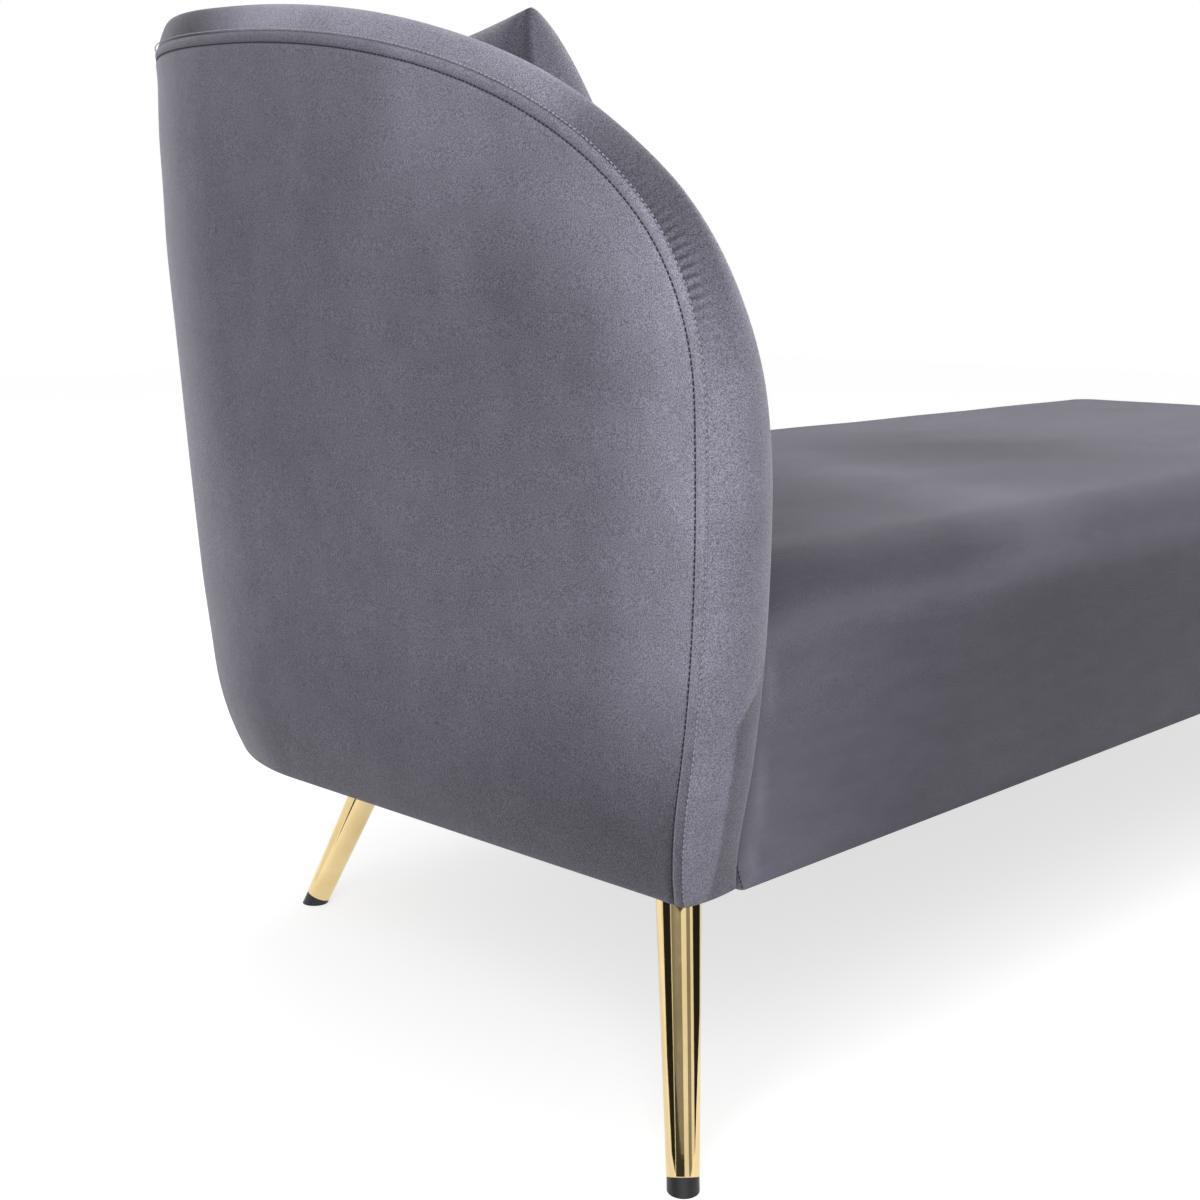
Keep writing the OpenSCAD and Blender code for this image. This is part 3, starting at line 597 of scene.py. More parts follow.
def velvet(name, brushed, patch=3.2, contrast=0.16, grain=0.46, sheen=0.75):
    """Velvet whose pile lies lighter and darker in patches along the way it is brushed, its colour
    multiplied by each piece's painted light and shade.
    """
    material = finish_of(
        name, velvet_tone, 0.82, Sheen_Weight=sheen, Sheen_Roughness=0.30,
        Sheen_Tint=(0.82, 0.80, 0.88, 1), Specular_IOR_Level=0.12,
    )
    lay = pattern(material, "Noise", patch, brushed, Detail=3.0, Roughness=0.45, Distortion=0.5)
    streak = pattern(material, "Noise", patch * 9, brushed, Detail=4.0, Roughness=0.6)
    pile = pattern(material, "Noise", 1000, Detail=2.0, Roughness=0.7)
    # Each piece's painted light and shade, kept on its points.
    painted_light_and_shade = material.node_tree.nodes.new("ShaderNodeAttribute")
    painted_light_and_shade.attribute_name = "painted_light_and_shade"
    dark = tuple(c * (1 - contrast) for c in velvet_tone)
    light = tuple(c * (1 + contrast) for c in velvet_tone)
    lain = shade_between(material, lay, dark, light, 0.35, 0.65)
    streaked = shade_between(material, streak, (0.93,) * 3, (1.05,) * 3, 0.35, 0.65)
    speckled = shade_between(material, pile, (1 - grain,) * 3, (1 + grain,) * 3, 0.36, 0.64)
    # The brushed patches and streaks, times the painted light and shade.
    brushed_and_painted_tone = multiply(material, multiply(material, lain, streaked), painted_light_and_shade.outputs["Color"])
    set_input(material, "Base Color", multiply(material, brushed_and_painted_tone, speckled))
    raise_surface(material, streak, 0.0006)
    raise_surface(material, pile, 0.0007)
    return material


def paint_light_and_shade(piece, tone_at):
    """Paints light and shade over a piece, lighter or darker by distances from the base's rear right
    corner, for the velvet's colour to follow."""
    places = np.empty(len(piece.data.vertices) * 3, np.float32)
    piece.data.vertices.foreach_get("co", places)
    x, y, z = (places.reshape(-1, 3) - (rear_x, right_y, 0)).T
    tone = np.ones_like(x) * tone_at(x, y, z)
    # Keeps the painted light and shade on the piece's points.
    piece.data.attributes.new("painted_light_and_shade", "FLOAT", "POINT").data.foreach_set("value", tone.astype(np.float32))


def soft_waves(first, second, length, seed):
    """Slow unevenness of stretched cloth, mostly -1 to 1, over two distances along it."""
    chance = np.random.default_rng(seed)
    total = 0
    for wave in range(8):
        way, start = chance.uniform(0, 2 * pi, 2)
        stride = length * chance.uniform(0.6, 1.7)
        total = total + np.sin(2 * pi * (first * cos(way) + second * sin(way)) / stride + start)
    return total / 4


# Places along half a stitch and the thread's share of its full radius there.
thread_shape = ((-1, 0.3), (-0.8, 0.85), (-0.4, 1), (0.4, 1), (0.8, 0.85), (1, 0.3))


def stitch_run(name, material, path, lift, pitch, length, thread, sink=0.6):
    """A row of stitches along a path: threads that rise between their two holes."""
    along = length_along(path)
    middle = np.arange(pitch / 2, along[-1] - pitch / 2, pitch)

    def at(values, where):
        return np.stack([np.interp(where, along, values[:, k]) for k in range(3)], 1)

    def unit(v):
        return v / np.linalg.norm(v, axis=1)[:, None]

    ahead = unit(at(path, middle + length / 2) - at(path, middle - length / 2))
    up = unit(at(lift, middle))
    aside = np.cross(ahead, up)
    centre = at(path, middle)
    turn = np.linspace(0, 2 * pi, 7)[:-1]
    round_it = (
        np.cos(turn)[None, :, None] * aside[:, None] + np.sin(turn)[None, :, None] * up[:, None]
    )
    rings = []
    for place, size in thread_shape:
        ring_centre = centre + ahead * place * length / 2 - up * thread * sink * place ** 2
        rings.append(ring_centre[:, None] + round_it * thread * size)
    points = np.stack(rings, 1)
    count, levels, sides = points.shape[:3]
    faces = []
    for start in range(0, count * levels * sides, levels * sides):
        for level in range(levels - 1):
            for side in range(sides):
                a, b = start + level * sides + side, start + level * sides + (side + 1) % sides
                faces.append((a, b, b + sides, a + sides))
        faces.append(tuple(start + side for side in range(sides))[::-1])
        faces.append(tuple(start + (levels - 1) * sides + side for side in range(sides)))
    mesh = bpy.data.meshes.new(name)
    mesh.from_pydata(points.reshape(-1, 3).tolist(), [], faces)
    return piece_of(name, mesh, material)


def thread_finish(name, tone):
    """Twisted sewing thread."""
    material = finish_of(name, tone, 0.7)
    twist = pattern(material, "Wave", 900, (1, 1, 1), Distortion=1.0)
    dark = tuple(c * 0.6 for c in tone)
    tint(material, twist, dark, tone, 0.1, 0.8)
    raise_surface(material, twist, 0.0001)
    return material


# How far each row of the hem drops and how far it is turned in, in metres.
hem_rows = (
    (0, 0), (0.0014, 0.0004), (0.0024, 0.0012), (0.0029, 0.0026),
    (0.003, 0.005), (0.0028, 0.012), (0.0026, 0.020),
)
# Distances in from the seam and how deep the cover lies there, in millimetres.
relief = np.array([
    (0, 2.4), (0.9, 1.1), (2, 0), (3.5, -0.6), (5.5, -0.7), (7, -0.3), (8.2, 0.7), (9, 1.3), (9.8, 0.7),
    (11, -0.3), (12.5, -0.7), (15, -0.7), (20, -0.4), (28, -0.1), (36, 0),
]) / 1000


def outside_depth(inset, run, height):
    """The seam's groove, the dent along the top stitch and a slow unevenness."""
    uneven = 0.0005 * soft_waves(run, height, 0.30, 3) * min(1, inset / 0.03)
    return np.interp(inset, relief[:, 0], relief[:, 1]) + uneven


cover_low = leg_height + 0.003
border, field, foot_run, foot_depth = panel_grids(cover_low, outside_depth, relief[:, 0], 0.006)
hem = np.stack([wall(foot_run, cover_low - drop, foot_depth + turned) for drop, turned in hem_rows])
outside_cover = mesh_of(
    "outside_velvet", velvet("velvet_of_back", (1, 1, 0.8)), [border, field, hem],
    away_from=(rear_x + 0.5, right_y + 0.35, 0.5), thickness=velvet_thickness,
)
put_in_place(outside_cover, "velvet", "chaise", "outside_cover")


way_out = 0.01


def on_wall(line, inset, depth):
    """A path along the seam, and the way out of the wall beside it."""
    run, height = (line + inward(line) * inset).T
    path, outer = wall(run, height, depth), wall(run, height, depth - way_out)
    return path, (outer - path) / way_out


dark_thread = thread_finish("dark_thread", colour_of(38, 36, 42))
seam_run = spread(seam_line(leg_height + 0.006), 1600)
seam_path = on_wall(seam_run, inset=0, depth=0.0)[0] - (rear_x, right_y, 0)


def nearest_on(path, x, y, z):
    """For points of the cloth, the nearest point of a path and how far off it lies."""
    tree = KDTree(len(path))
    for index, point in enumerate(path):
        tree.insert(point, index)
    tree.balance()
    found = [tree.find(point)[1:] for point in np.stack([x, y, z], 1)]
    return tuple(np.array(values) for values in zip(*found))


def back_painted_shading(x, y, z):
    """Painted light and shade: lighter beside the right edge's seam and past the corner, darker low
    down.
    """
    _, reach = nearest_on(seam_path, x, y, z)
    # Painted light beside the right edge's seam, fading out over the arch.
    beside = near(reach, 0, 0.075) * below(y, 0.36, 0.15)
    beside = beside * above(z, 0.25, 0.18) * (1 - 0.6 * above(z, 0.66, 0.14))
    # A painted highlight strip along the edge, low on the right.
    edge_strip = below(reach, 0.010, 0.003) * below(z, 0.36, 0.12) * (y < 0.1)
    # Painted light past the corner and painted shade low down.
    round_corner, low = above(y, 0.45, 0.12), below(z, 0.40, 0.20)
    return 0.98 + 1.2 * beside + 0.12 * round_corner - 0.36 * low + 0.45 * edge_strip


# Paints the outside cover's light and shade into its colour.
paint_light_and_shade(outside_cover, back_painted_shading)
path, lift = on_wall(seam_run, inset=0.0090, depth=0.0002)
top_stitch = stitch_run(
    "outside_top_stitch", dark_thread, path, lift, pitch=0.0044, length=0.0034, thread=0.0005,
)
put_in_place(top_stitch, "velvet", "chaise")


# Inside cover
# The same velvet over the foam inside the back, seamed to the band and tucked
# down behind the seat.
inside_relief = np.array([
    (0, 1.8), (1.2, 0.7), (3, 0), (6, -0.2), (10, -0.2), (16, 0), (26, 0), (36, 0),
]) / 1000


def inside_depth(inset, run, height):
    """The groove of the inside seam and a slow unevenness of the soft foam."""
    uneven = 0.0007 * (soft_waves(run, height, 0.22, 8) - 1) * min(1, inset / 0.03)
    return thickness_at(height) - np.interp(inset, inside_relief[:, 0], inside_relief[:, 1]) + uneven


inside = panel_grids(deck_height, inside_depth, inside_relief[:, 0], 0.008)
inside_cover = mesh_of(
    "inside_velvet", velvet("velvet_of_inside", (1, 1, 0.8)), inside[:2],
    away_from=(rear_x - 2, right_y + 2.5, 0.6), thickness=velvet_thickness,
)
put_in_place(inside_cover, "velvet", "chaise", "inside_cover")
paint_light_and_shade(inside_cover, lambda x, y, z: 1)


# Band
# A strip of the same velvet round the wall's edge, puffed over the foam roll.
# It is eased into the outside seam, which puckers it round the shoulder.
band_path = band_line(0.0016)
band_out = inward(band_path)
band_edge = wall(band_path[:, 0], band_path[:, 1], 0.0) - (rear_x, right_y, 0)
band_across = (0.5 - 0.5 * np.cos(np.linspace(0, pi, 36)))[None]
band_length = np.linspace(0, length_along(band_path)[-1], len(band_path))
puff = band_rise(band_path)[:, None] * band_section(band_path, band_across)
band_width = thickness_at(band_path[:, 1])[:, None]
from_seam = band_width * band_across
from_inner = band_width - from_seam
shoulder = (band_path[:, 0] < 0.3) * near(band_path[:, 1], 0.655, 0.036)
pucker_pitch, pucker_easing, shoulder_easing, inner_easing = 0.0068, 0.00012, 0.0015, 0.0002
easing = pucker_easing + shoulder_easing * shoulder
phase = 2 * pi * band_length / pucker_pitch + 1.3 * soft_waves(band_length, 0 * band_length, 0.09, 5)
near_outer = np.exp(-from_seam / 0.010) * (1 - np.exp(-from_seam / 0.0012))
near_inner = np.exp(-from_inner / 0.008) * (1 - np.exp(-from_inner / 0.0015))
pucker = (easing * np.sin(phase))[:, None] * near_outer
pucker = pucker + (inner_easing * np.sin(phase * 0.9))[:, None] * near_inner
uneven = 0.0006 * soft_waves(band_length[:, None], from_seam, 0.12, 12) * np.sin(pi * band_across)
band_offset = -(puff + 0.8 * pucker + uneven)
band_run, band_height = (band_path[:, None, k] + band_out[:, None, k] * band_offset for k in (0, 1))
band_depth = 0.0018 + (thickness_at(band_height) - 0.0036) * band_across - 0.5 * pucker
band_grid = wall(band_run, band_height, band_depth)
band = mesh_of(
    "band_velvet", velvet("velvet_of_band", (1, 1, 1)), [band_grid],
    away_from=(rear_x + 0.25, right_y + 0.35, 0.4), thickness=velvet_thickness,
)
put_in_place(band, "velvet", "chaise", "band_cover")


def band_painted_shading(x, y, z):
    """Painted light and shade: light up the right edge, darker round the shoulder but for a painted
    sheen highlight on its rim, light over the top, dark past it, and painted shade where the edge turns
    in at its foot."""
    index, reach = nearest_on(band_edge, x, y, z)
    right, rear = y < 0.2, x < 0.2
    upright = below(z, 0.70, 0.14) * right
    past_top = above(y, 0.42, 0.14) * rear
    over_top = above(y, 0.03, 0.10) * (1 - past_top) * rear
    # Painted sheen highlight along the shoulder's rim.
    rim = above(reach, 0.024, 0.010) * above(z, 0.58, 0.08) * right * (1 - over_top)
    # Painted shade where the band's edge turns inward at its foot.
    wedge_edge = 0.019 - 0.08 * (z - leg_height) + 0.030 * above(z, 0.335, 0.04)
    turned_in_shade = above(x, wedge_edge, 0.005) * below(z, 0.385, 0.01) * right
    # Painted light and shade on the two sides of each pucker round the shoulder.
    pucker_shading = 0.55 * shoulder[index] * np.sin(phase[index] + 1) * near(reach, 0.006, 0.008)
    tone = 0.9 + 1.15 * upright + 0.9 * over_top + 0.55 * rim - 0.68 * past_top
    return tone * (1 + pucker_shading) * (1 - 0.42 * turned_in_shade)


# Paints the band's light and shade into its colour.
paint_light_and_shade(band, band_painted_shading)
pale_thread = thread_finish("pale_thread", colour_of(176, 174, 182))
path, lift = on_wall(seam_run, inset=-0.0016, depth=-0.0002)
seam_stitch = stitch_run(
    "band_seam_stitch", pale_thread, path, lift, pitch=0.0046, length=0.0030, thread=0.00045,
)
put_in_place(seam_stitch, "velvet", "chaise")


# Seat padding
# A foam block on felt over the webbing, and a thinner pad on the outside of
# the rails that brings the sides flush with it.
seat_height, seat_crown, crown_reach = 0.445, 0.006, 0.2
seat_edge_radius, foot_radius = 0.045, 0.070
wing_x = corner_radius + crown_run + wing_run - rear_run - corner_radius * pi / 2
band_gap, least_radius = 0.0006, 0.004
step_x = wing_x + band_gap


def arc(middle, radius, start, count):
    """A quarter turn in plan, from a start angle in degrees."""
    turn = np.radians(start + np.linspace(0, 90, count))
    return np.stack([middle[0] + radius * np.cos(turn), middle[1] + radius * np.sin(turn)], 1)


def round_foot(start_x, out, radius, end_x, counts):
    """Plan from the right side round the foot end's two corners and back on the left,
    with so many points along the right, round a corner, across and back."""
    along, bend, across, back = counts
    far_x, far_y = base_length - out, base_width - out
    return np.concatenate([
        np.linspace((start_x, out), (far_x - radius, out), along),
        arc((far_x - radius, out + radius), radius, -90, bend)[1:],
        np.linspace((far_x, out + radius), (far_x, far_y - radius), across)[1:],
        arc((far_x - radius, far_y - radius), radius, 0, bend)[1:],
        np.linspace((far_x - radius, far_y), (end_x, far_y), back)[1:],
    ])


def side_bulge(height):
    """How far the padded sides stand out between their hem and the soft edge."""
    return 0.004 * below(height, 0.400, 0.10)


def rear_edge(height, depth):
    """How far in the back's leaning wall reaches at a height, at a depth in it."""
    return -tan(rear_lean) * (height - leg_height) + depth - swell(height) + band_gap


def skirt_plan(inset, height):
    """Plan of the seat's open sides, from the edge that turns in beside the band,
    round the foot end and up to the wing."""
    x0 = rear_edge(height, thickness_at(height)) + inset
    out = inset - side_bulge(height)
    turned_edge = [(x0, out + 0.012), (x0, out + 0.006), (x0, out + 0.003), (x0 + 0.001, out + 0.001)]
    radius = max(foot_radius - inset, least_radius)
    open_sides = round_foot(x0 + 0.003, out, radius, step_x + inset, (121, 15, 41, 71))
    return np.concatenate([turned_edge, open_sides])


def seat_plan(inset, height):
    """Plan of the seat above the rails, against the back's inside where that stands."""
    depth = wall_thickness - swell(height) + band_gap
    x0 = rear_edge(height, wall_thickness) + inset
    y1 = base_width + tan(side_lean) * (height - leg_height) - depth - inset
    radius = max(corner_radius - depth - inset, least_radius)
    skirt = skirt_plan(inset, height)
    return np.concatenate([
        skirt,
        np.linspace(skirt[-1], (step_x + inset, y1), 7)[1:],
        np.linspace((step_x + inset, y1), (x0 + radius, y1), 41)[1:],
        arc((x0 + radius, y1 - radius), radius, 90, 25)[1:],
        np.linspace((x0, y1 - radius), skirt[0], 41)[1:],
    ])


def level(plan, height):
    """A plan from the base's rear right corner, laid in the frame at a height."""
    return np.stack([rear_x + plan[:, 0], right_y + plan[:, 1], height + 0 * plan[:, 0]], -1)


def inside_outline(spots, outline):
    """Which points lie inside a closed outline."""
    ahead = np.roll(outline, -1, 0)
    x, y = spots[:, None, 0], spots[:, None, 1]
    spans = (outline[:, 1] > y) != (ahead[:, 1] > y)
    rise = np.where(ahead[:, 1] == outline[:, 1], 1, ahead[:, 1] - outline[:, 1])
    crossing = outline[:, 0] + (y - outline[:, 1]) * (ahead[:, 0] - outline[:, 0]) / rise
    return np.sum(spans & (crossing > x), axis=1) % 2 == 1


def fill_plan(outline, spacing, folds=(), holes=()):
    """Triangles inside a plan outline with its own points along the edge. They keep
    to the lines of the folds and leave the holes open."""
    rings = [outline, *folds, *holes]
    edges, start = [], 0
    for ring in rings:
        edges.extend((start + k, start + (k + 1) % len(ring)) for k in range(len(ring)))
        start += len(ring)
    rim = np.concatenate(rings)
    low, high = outline.min(0), outline.max(0)
    spots = np.stack(np.meshgrid(
        even_steps(low[0], high[0], spacing), even_steps(low[1], high[1], spacing), indexing="ij",
    ), -1).reshape(-1, 2)
    spots = spots[inside_outline(spots, outline)]
    clear = [np.min(np.sum((rim - spot) ** 2, axis=1)) > (0.6 * spacing) ** 2 for spot in spots]
    points = [Vector(p) for p in np.concatenate([rim, spots[clear]])]
    flat, _, faces, *_ = delaunay_2d_cdt(points, edges, [], 1, 1e-6)
    flat = np.array([tuple(p) for p in flat])
    middles = np.array([flat[face].mean(0) for face in faces])
    keep = inside_outline(middles, outline)
    for hole in holes:
        keep &= ~inside_outline(middles, hole)
    return flat, [face for face, kept in zip(faces, keep) if kept]


def seat_form(inset, low):
    """The seat from a height up its sides, over its soft edge and across its top."""
    edge_start = seat_height - seat_edge_radius
    rows = [level(seat_plan(inset, height), height) for height in even_steps(low, edge_start, 0.011)]
    radius = seat_edge_radius - inset
    for turn in np.linspace(0, pi / 2, 13)[1:]:
        height = edge_start + radius * sin(turn)
        rows.append(level(seat_plan(seat_edge_radius - radius * cos(turn), height), height))
    edge = rows[-1][:-1, :2]
    spots, faces = fill_plan(edge, 0.012)
    room = np.minimum(spots - edge.min(0), edge.max(0) - spots)
    crown = seat_crown * above(room[:, 0], 0, crown_reach) * above(room[:, 1], 0, crown_reach)
    return np.stack(rows), (np.column_stack([spots, seat_height - inset + crown]), faces)


foam_sides, foam_top = seat_form(cover_room, deck_height)
foam_floor = foam_sides[0]
foam_floor = np.stack([foam_floor, foam_floor + (foam_floor.mean(0) - foam_floor) * 0.999])
foam_block = mesh_of("seat_foam_block", foam_finish, [foam_sides, foam_top, foam_floor])
put_in_place(foam_block, "foam", "chaise", "seat_foam")


def base_outline(inset):
    """Plan of the base at an inset: square at the rear right, round elsewhere."""
    bend, far_y = corner_radius - inset, base_width - inset
    return np.concatenate([
        round_foot(inset, inset, foot_radius - inset, corner_radius, (81, 13, 31, 71)),
        arc((corner_radius, far_y - bend), bend, 90, 25)[1:],
        np.linspace((inset, far_y - bend), (inset, inset), 25)[1:],
    ])


felt_low, felt_high = (corner.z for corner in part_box("seat_felt"))
felt_inset, felt_round, felt_tuck = 0.0485, 0.0008, 0.0005
felt_rows = [
    level(base_outline(felt_inset + felt_tuck), felt_low),
    level(base_outline(felt_inset), felt_low + felt_round),
    level(base_outline(felt_inset), felt_high - felt_round),
    level(base_outline(felt_inset + felt_tuck), felt_high),
]
felt_middle = np.array([rear_x + base_length / 2, right_y + base_width / 2, 0])
for row, place in ((felt_rows[0], 0), (felt_rows[-1], len(felt_rows) + 1)):
    felt_rows.insert(place, np.broadcast_to(felt_middle + (0, 0, row[0, 2]), row.shape))
felt_sheet = mesh_of("seat_felt_sheet", felt_finish, [np.stack(felt_rows)])
put_in_place(felt_sheet, "felt", "chaise", "seat_felt")

pad_low, pad_high = (corner.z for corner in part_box("side_padding"))
pad_section = (
    (0.0060, 0.02), (0.0060, 0.98), (0.0084, 1), (0.0224, 1),
    (0.0248, 0.98), (0.0248, 0.02), (0.0224, 0), (0.0084, 0), (0.0060, 0.02),
)
pad_rows = np.stack([
    level(skirt_plan(inset, deck_height), pad_low + (pad_high - pad_low) * up)[8:-1]
    for inset, up in pad_section
])
pad_ends = [cap(pad_rows[:, end]) for end in (0, -1)]
side_pad = mesh_of("side_padding_strip", foam_finish, [pad_rows, *pad_ends])
put_in_place(side_pad, "foam", "chaise", "side_padding")


# Seat cover
# One piece of velvet over the seat's top and down its sides, brushed along the
# seat, with a soft edge and no seam. A stitched hem ends it beside the band.
seat_velvet = velvet(
    "velvet_of_seat", (0.5, 1.6, 1.6), patch=4.0, contrast=0.1, grain=0.18, sheen=0.4,
)
skirt_low = leg_height + 0.0003
skirt_heights = even_steps(skirt_low, deck_height, 0.009)
skirt = np.stack([level(skirt_plan(0, height), height) for height in skirt_heights])
sides, top = seat_form(0, deck_height)
for points in (sides[1:].reshape(-1, 3), top[0]):
    wave = 0.0006 * (soft_waves(points[:, 0], points[:, 1], 0.25, 21) - 1)
    points[:, 2] += wave * np.clip((points[:, 2] - 0.425) / 0.02, 0, 1)
under = np.stack([
    level(skirt_plan(turned, skirt_low), skirt_low - drop) for drop, turned in hem_rows
])
seat_cover = mesh_of(
    "seat_velvet", seat_velvet, [skirt, sides, top, under],
    away_from=(rear_x + 1.0, right_y + 0.35, 0.3), thickness=velvet_thickness,
)
put_in_place(seat_cover, "velvet", "chaise", "seat_cover")


def seat_painted_shading(x, y, z):
    """Painted light and shade: dark near the back and lighter beyond a slanting sweep, painted
    highlights along the soft edge and the turned edge beside the band, and painted shade down the sides."""
    slant = x - 0.3 * y
    # Painted shade down the sides.
    side = below(z, 0.410, 0.030)
    # Painted light beyond a slanting sweep and along a streak, and painted shade over the top's far
    # part.
    sweep = above(slant, 0.350, 0.07)
    streak = near(slant, 0.50, 0.06)
    far_top_shade = near(x, 0.86, 0.16) * near(y, 0.31, 0.16)
    # Painted highlights along the soft edge and along the turned edge; painted light on the side near
    # the band.
    edge = near(z, 0.398, 0.018) * below(y, 0.05, 0.03)
    turned_edge = near(x, 0.070 + 0.14 * (z - leg_height), 0.006) * below(z, 0.40, 0.05)
    beside_band = np.exp(-np.clip(x - 0.08, 0, None) / 0.15)
    top_tone = 0.53 + 0.15 * sweep + 0.20 * streak - 0.34 * far_top_shade
    side_tone = 0.60 + 0.72 * beside_band + 0.5 * turned_edge
    return top_tone * (1 - side) + side_tone * side + 0.40 * edge


# Paints the seat cover's light and shade into its colour.
paint_light_and_shade(seat_cover, seat_painted_shading)
edge_heights = np.linspace(skirt_low - 0.001, 0.223, 20)
edge_path = np.concatenate([
    level(skirt_plan(-0.0003, height)[3:4], height) for height in edge_heights
])
edge_lift = np.broadcast_to((0.0, -1.0, 0.0), edge_path.shape)
edge_stitch = stitch_run(
    "seat_edge_stitch", dark_thread, edge_path, edge_lift,
    pitch=0.0045, length=0.0034, thread=0.0005,
)
put_in_place(edge_stitch, "velvet", "chaise")


# Dust cloth
# Thin black cloth under the frame, folded in at its edge and stapled up to the
# rails, with openings for the leg plates.
cloth_finish = finish_of("dust_cloth", colour_of(44, 44, 47), 1.0, Sheen_Weight=0.15)
bonded_points = pattern(cloth_finish, "Voronoi", 420, Randomness=0.15)
tint(cloth_finish, bonded_points, colour_of(30, 30, 33), colour_of(58, 58, 62), 0.1, 0.5)
raise_surface(cloth_finish, bonded_points, 0.0003)
cloth_inset, cloth_height, hem_width = 0.0215, 0.2034, 0.014
cloth_thickness, cloth_sag, plate_gap = 0.0005, 0.0018, 0.0012
corner = np.array([rear_x, right_y])
plate_openings = [
    np.array([(low[0], low[1]), (high[0], low[1]), (high[0], high[1]), (low[0], high[1])])
    + plate_gap * np.array([(-1, -1), (1, -1), (1, 1), (-1, 1)])
    for low, high in islands("leg_plates")
]
cloth_edge = base_outline(cloth_inset)[:-1] + corner
hem_fold = base_outline(cloth_inset + hem_width)[:-1] + corner
spots, faces = fill_plan(cloth_edge, 0.03, [hem_fold], plate_openings)
margin = np.minimum(spots - corner, (base_length, base_width) + corner - spots).min(1)
unevenness = 0.7 + 0.3 * soft_waves(spots[:, 0], spots[:, 1], 0.3, 31)
sag = cloth_sag * np.clip((margin - 0.05) / 0.1, 0, 1) * unevenness
cloth_parts = [(np.column_stack([spots, cloth_height - sag]), faces)]
dust_cloth = mesh_of("dust_cloth", cloth_finish, cloth_parts, thickness=cloth_thickness, offset=0)
put_in_place(dust_cloth, "black_cloth", "chaise", "dust_cover")


staple_line = level(base_outline(cloth_inset + hem_width / 2), cloth_height - 0.0004)
staples = stitch_run(
    "dust_cloth_staples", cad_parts["plate_screws"].data.materials[0],
    staple_line, np.broadcast_to((0.0, 0.0, -1.0), staple_line.shape),
    pitch=0.052, length=0.011, thread=0.0006, sink=1.2,
)
put_in_place(staples, "steel", "chaise")


# Legs
# Spun steel tubes, tapered and plated a bright pale gold, welded under their
# plates at a splay. Black plastic tips plug their ends and stand flat.
gold = finish_of("gold_plate", colour_of(232, 208, 156), 0.07, Metallic=1.0)
polish = pattern(gold, "Noise", 30, Detail=3.0)
tint(gold, polish, colour_of(226, 200, 146), colour_of(236, 213, 162))
smears = pattern(gold, "Noise", 90, Detail=4.0)
set_input(gold, "Roughness", shade_between(gold, smears, (0.05,) * 3, (0.11,) * 3))
raise_surface(gold, polish, 0.00008)
leg_radius, leg_end_radius, tip_shows, leg_splay = 0.01775, 0.01225, 0.009, 0.092
leg_lean = atan2(leg_splay, leg_height)
tube_length = leg_height / cos(leg_lean) - tip_shows
taper = (leg_end_radius - leg_radius) / tube_length
leg_places = {
    "leg_rear_right": (0.040, 0.040, 225),
    "leg_rear_left": (0.207, base_width - 0.135, 132),
    "leg_foot_right": (base_length - 0.066, 0.066, -45),
    "leg_foot_left": (base_length - 0.066, base_width - 0.066, 45),
}
# A tube's rings, each as its share of the length and how far it lies inside the
# outer face: the straight taper, then the end turned in round the tip.
tube_rings = [(share, 0) for share in np.linspace(0, 1, 13)[:-1]]
tube_rings += [(0.996, 0), (0.9985, 0.0001), (1, 0.0006), (1, 0.0018), (0.998, 0.0022), (0.9, 0.0022)]
for node, (x, y, way) in leg_places.items():
    way = radians(way)
    down = np.array([sin(leg_lean) * cos(way), sin(leg_lean) * sin(way), -cos(leg_lean)])
    aside = np.array([-sin(way), cos(way), 0])
    turn = np.linspace(0, 2 * pi, 97)[:, None]
    spoke = np.cos(turn) * aside + np.sin(turn) * np.cross(down, aside)
    start = leg_radius * spoke[:, 2] / (cos(leg_lean) - taper * spoke[:, 2])
    rows = []
    for share, wall_in in tube_rings:
        along = start + (tube_length - start) * share
        out = leg_radius + taper * along - wall_in
        rows.append((rear_x + x, right_y + y, leg_height) + down * along[:, None] + spoke * out[:, None])
    tube = np.stack(rows)
    leg = mesh_of(node + "_tube", gold, [tube], away_from=tube[:12].mean((0, 1)))
    put_in_place(leg, "gold", "chaise", node)

tip_plastic = finish_of("tip_plastic", colour_of(24, 24, 25), 0.42)
moulded_grain = pattern(tip_plastic, "Noise", 700, Detail=2.0)
tint(tip_plastic, moulded_grain, colour_of(18, 18, 19), colour_of(34, 34, 36))
raise_surface(tip_plastic, moulded_grain, 0.0002)
dress(tip_plastic, "tip_rear_right", "tip_rear_left", "tip_foot_right", "tip_foot_left")


# Pillow
# A loose square pillow filled with fibre, in the same velvet. Its two faces
# meet in one plain seam, and it stands on the seat in the rear left corner.
pillow_half, pillow_thickness, pillow_draw, pillow_fullness = 0.220, 0.185, 0.010, 0.36
pillow_wander, back_reach, front_reach, seam_half = 0.025, 6, 16, 0.00125
pillow_middle = Vector((rear_x + 0.27485, right_y + 0.4829, 0.6578))
pillow_turn, pillow_lean = radians(71.9), radians(70.1)
stand_up = Matrix.Translation(pillow_middle) @ (
    Matrix.Rotation(pillow_turn, 4, "Z") @ Matrix.Rotation(pillow_lean, 4, "X")
)


def seam_wander(u, v, reach=back_reach):
    """How far the seam strays towards the back along the pillow's near side. A higher
    reach keeps that nearer to the edge."""
    return pillow_wander * np.clip(-u, 0, 1) ** reach * (1 - np.clip(v, -1, 1) ** 4)


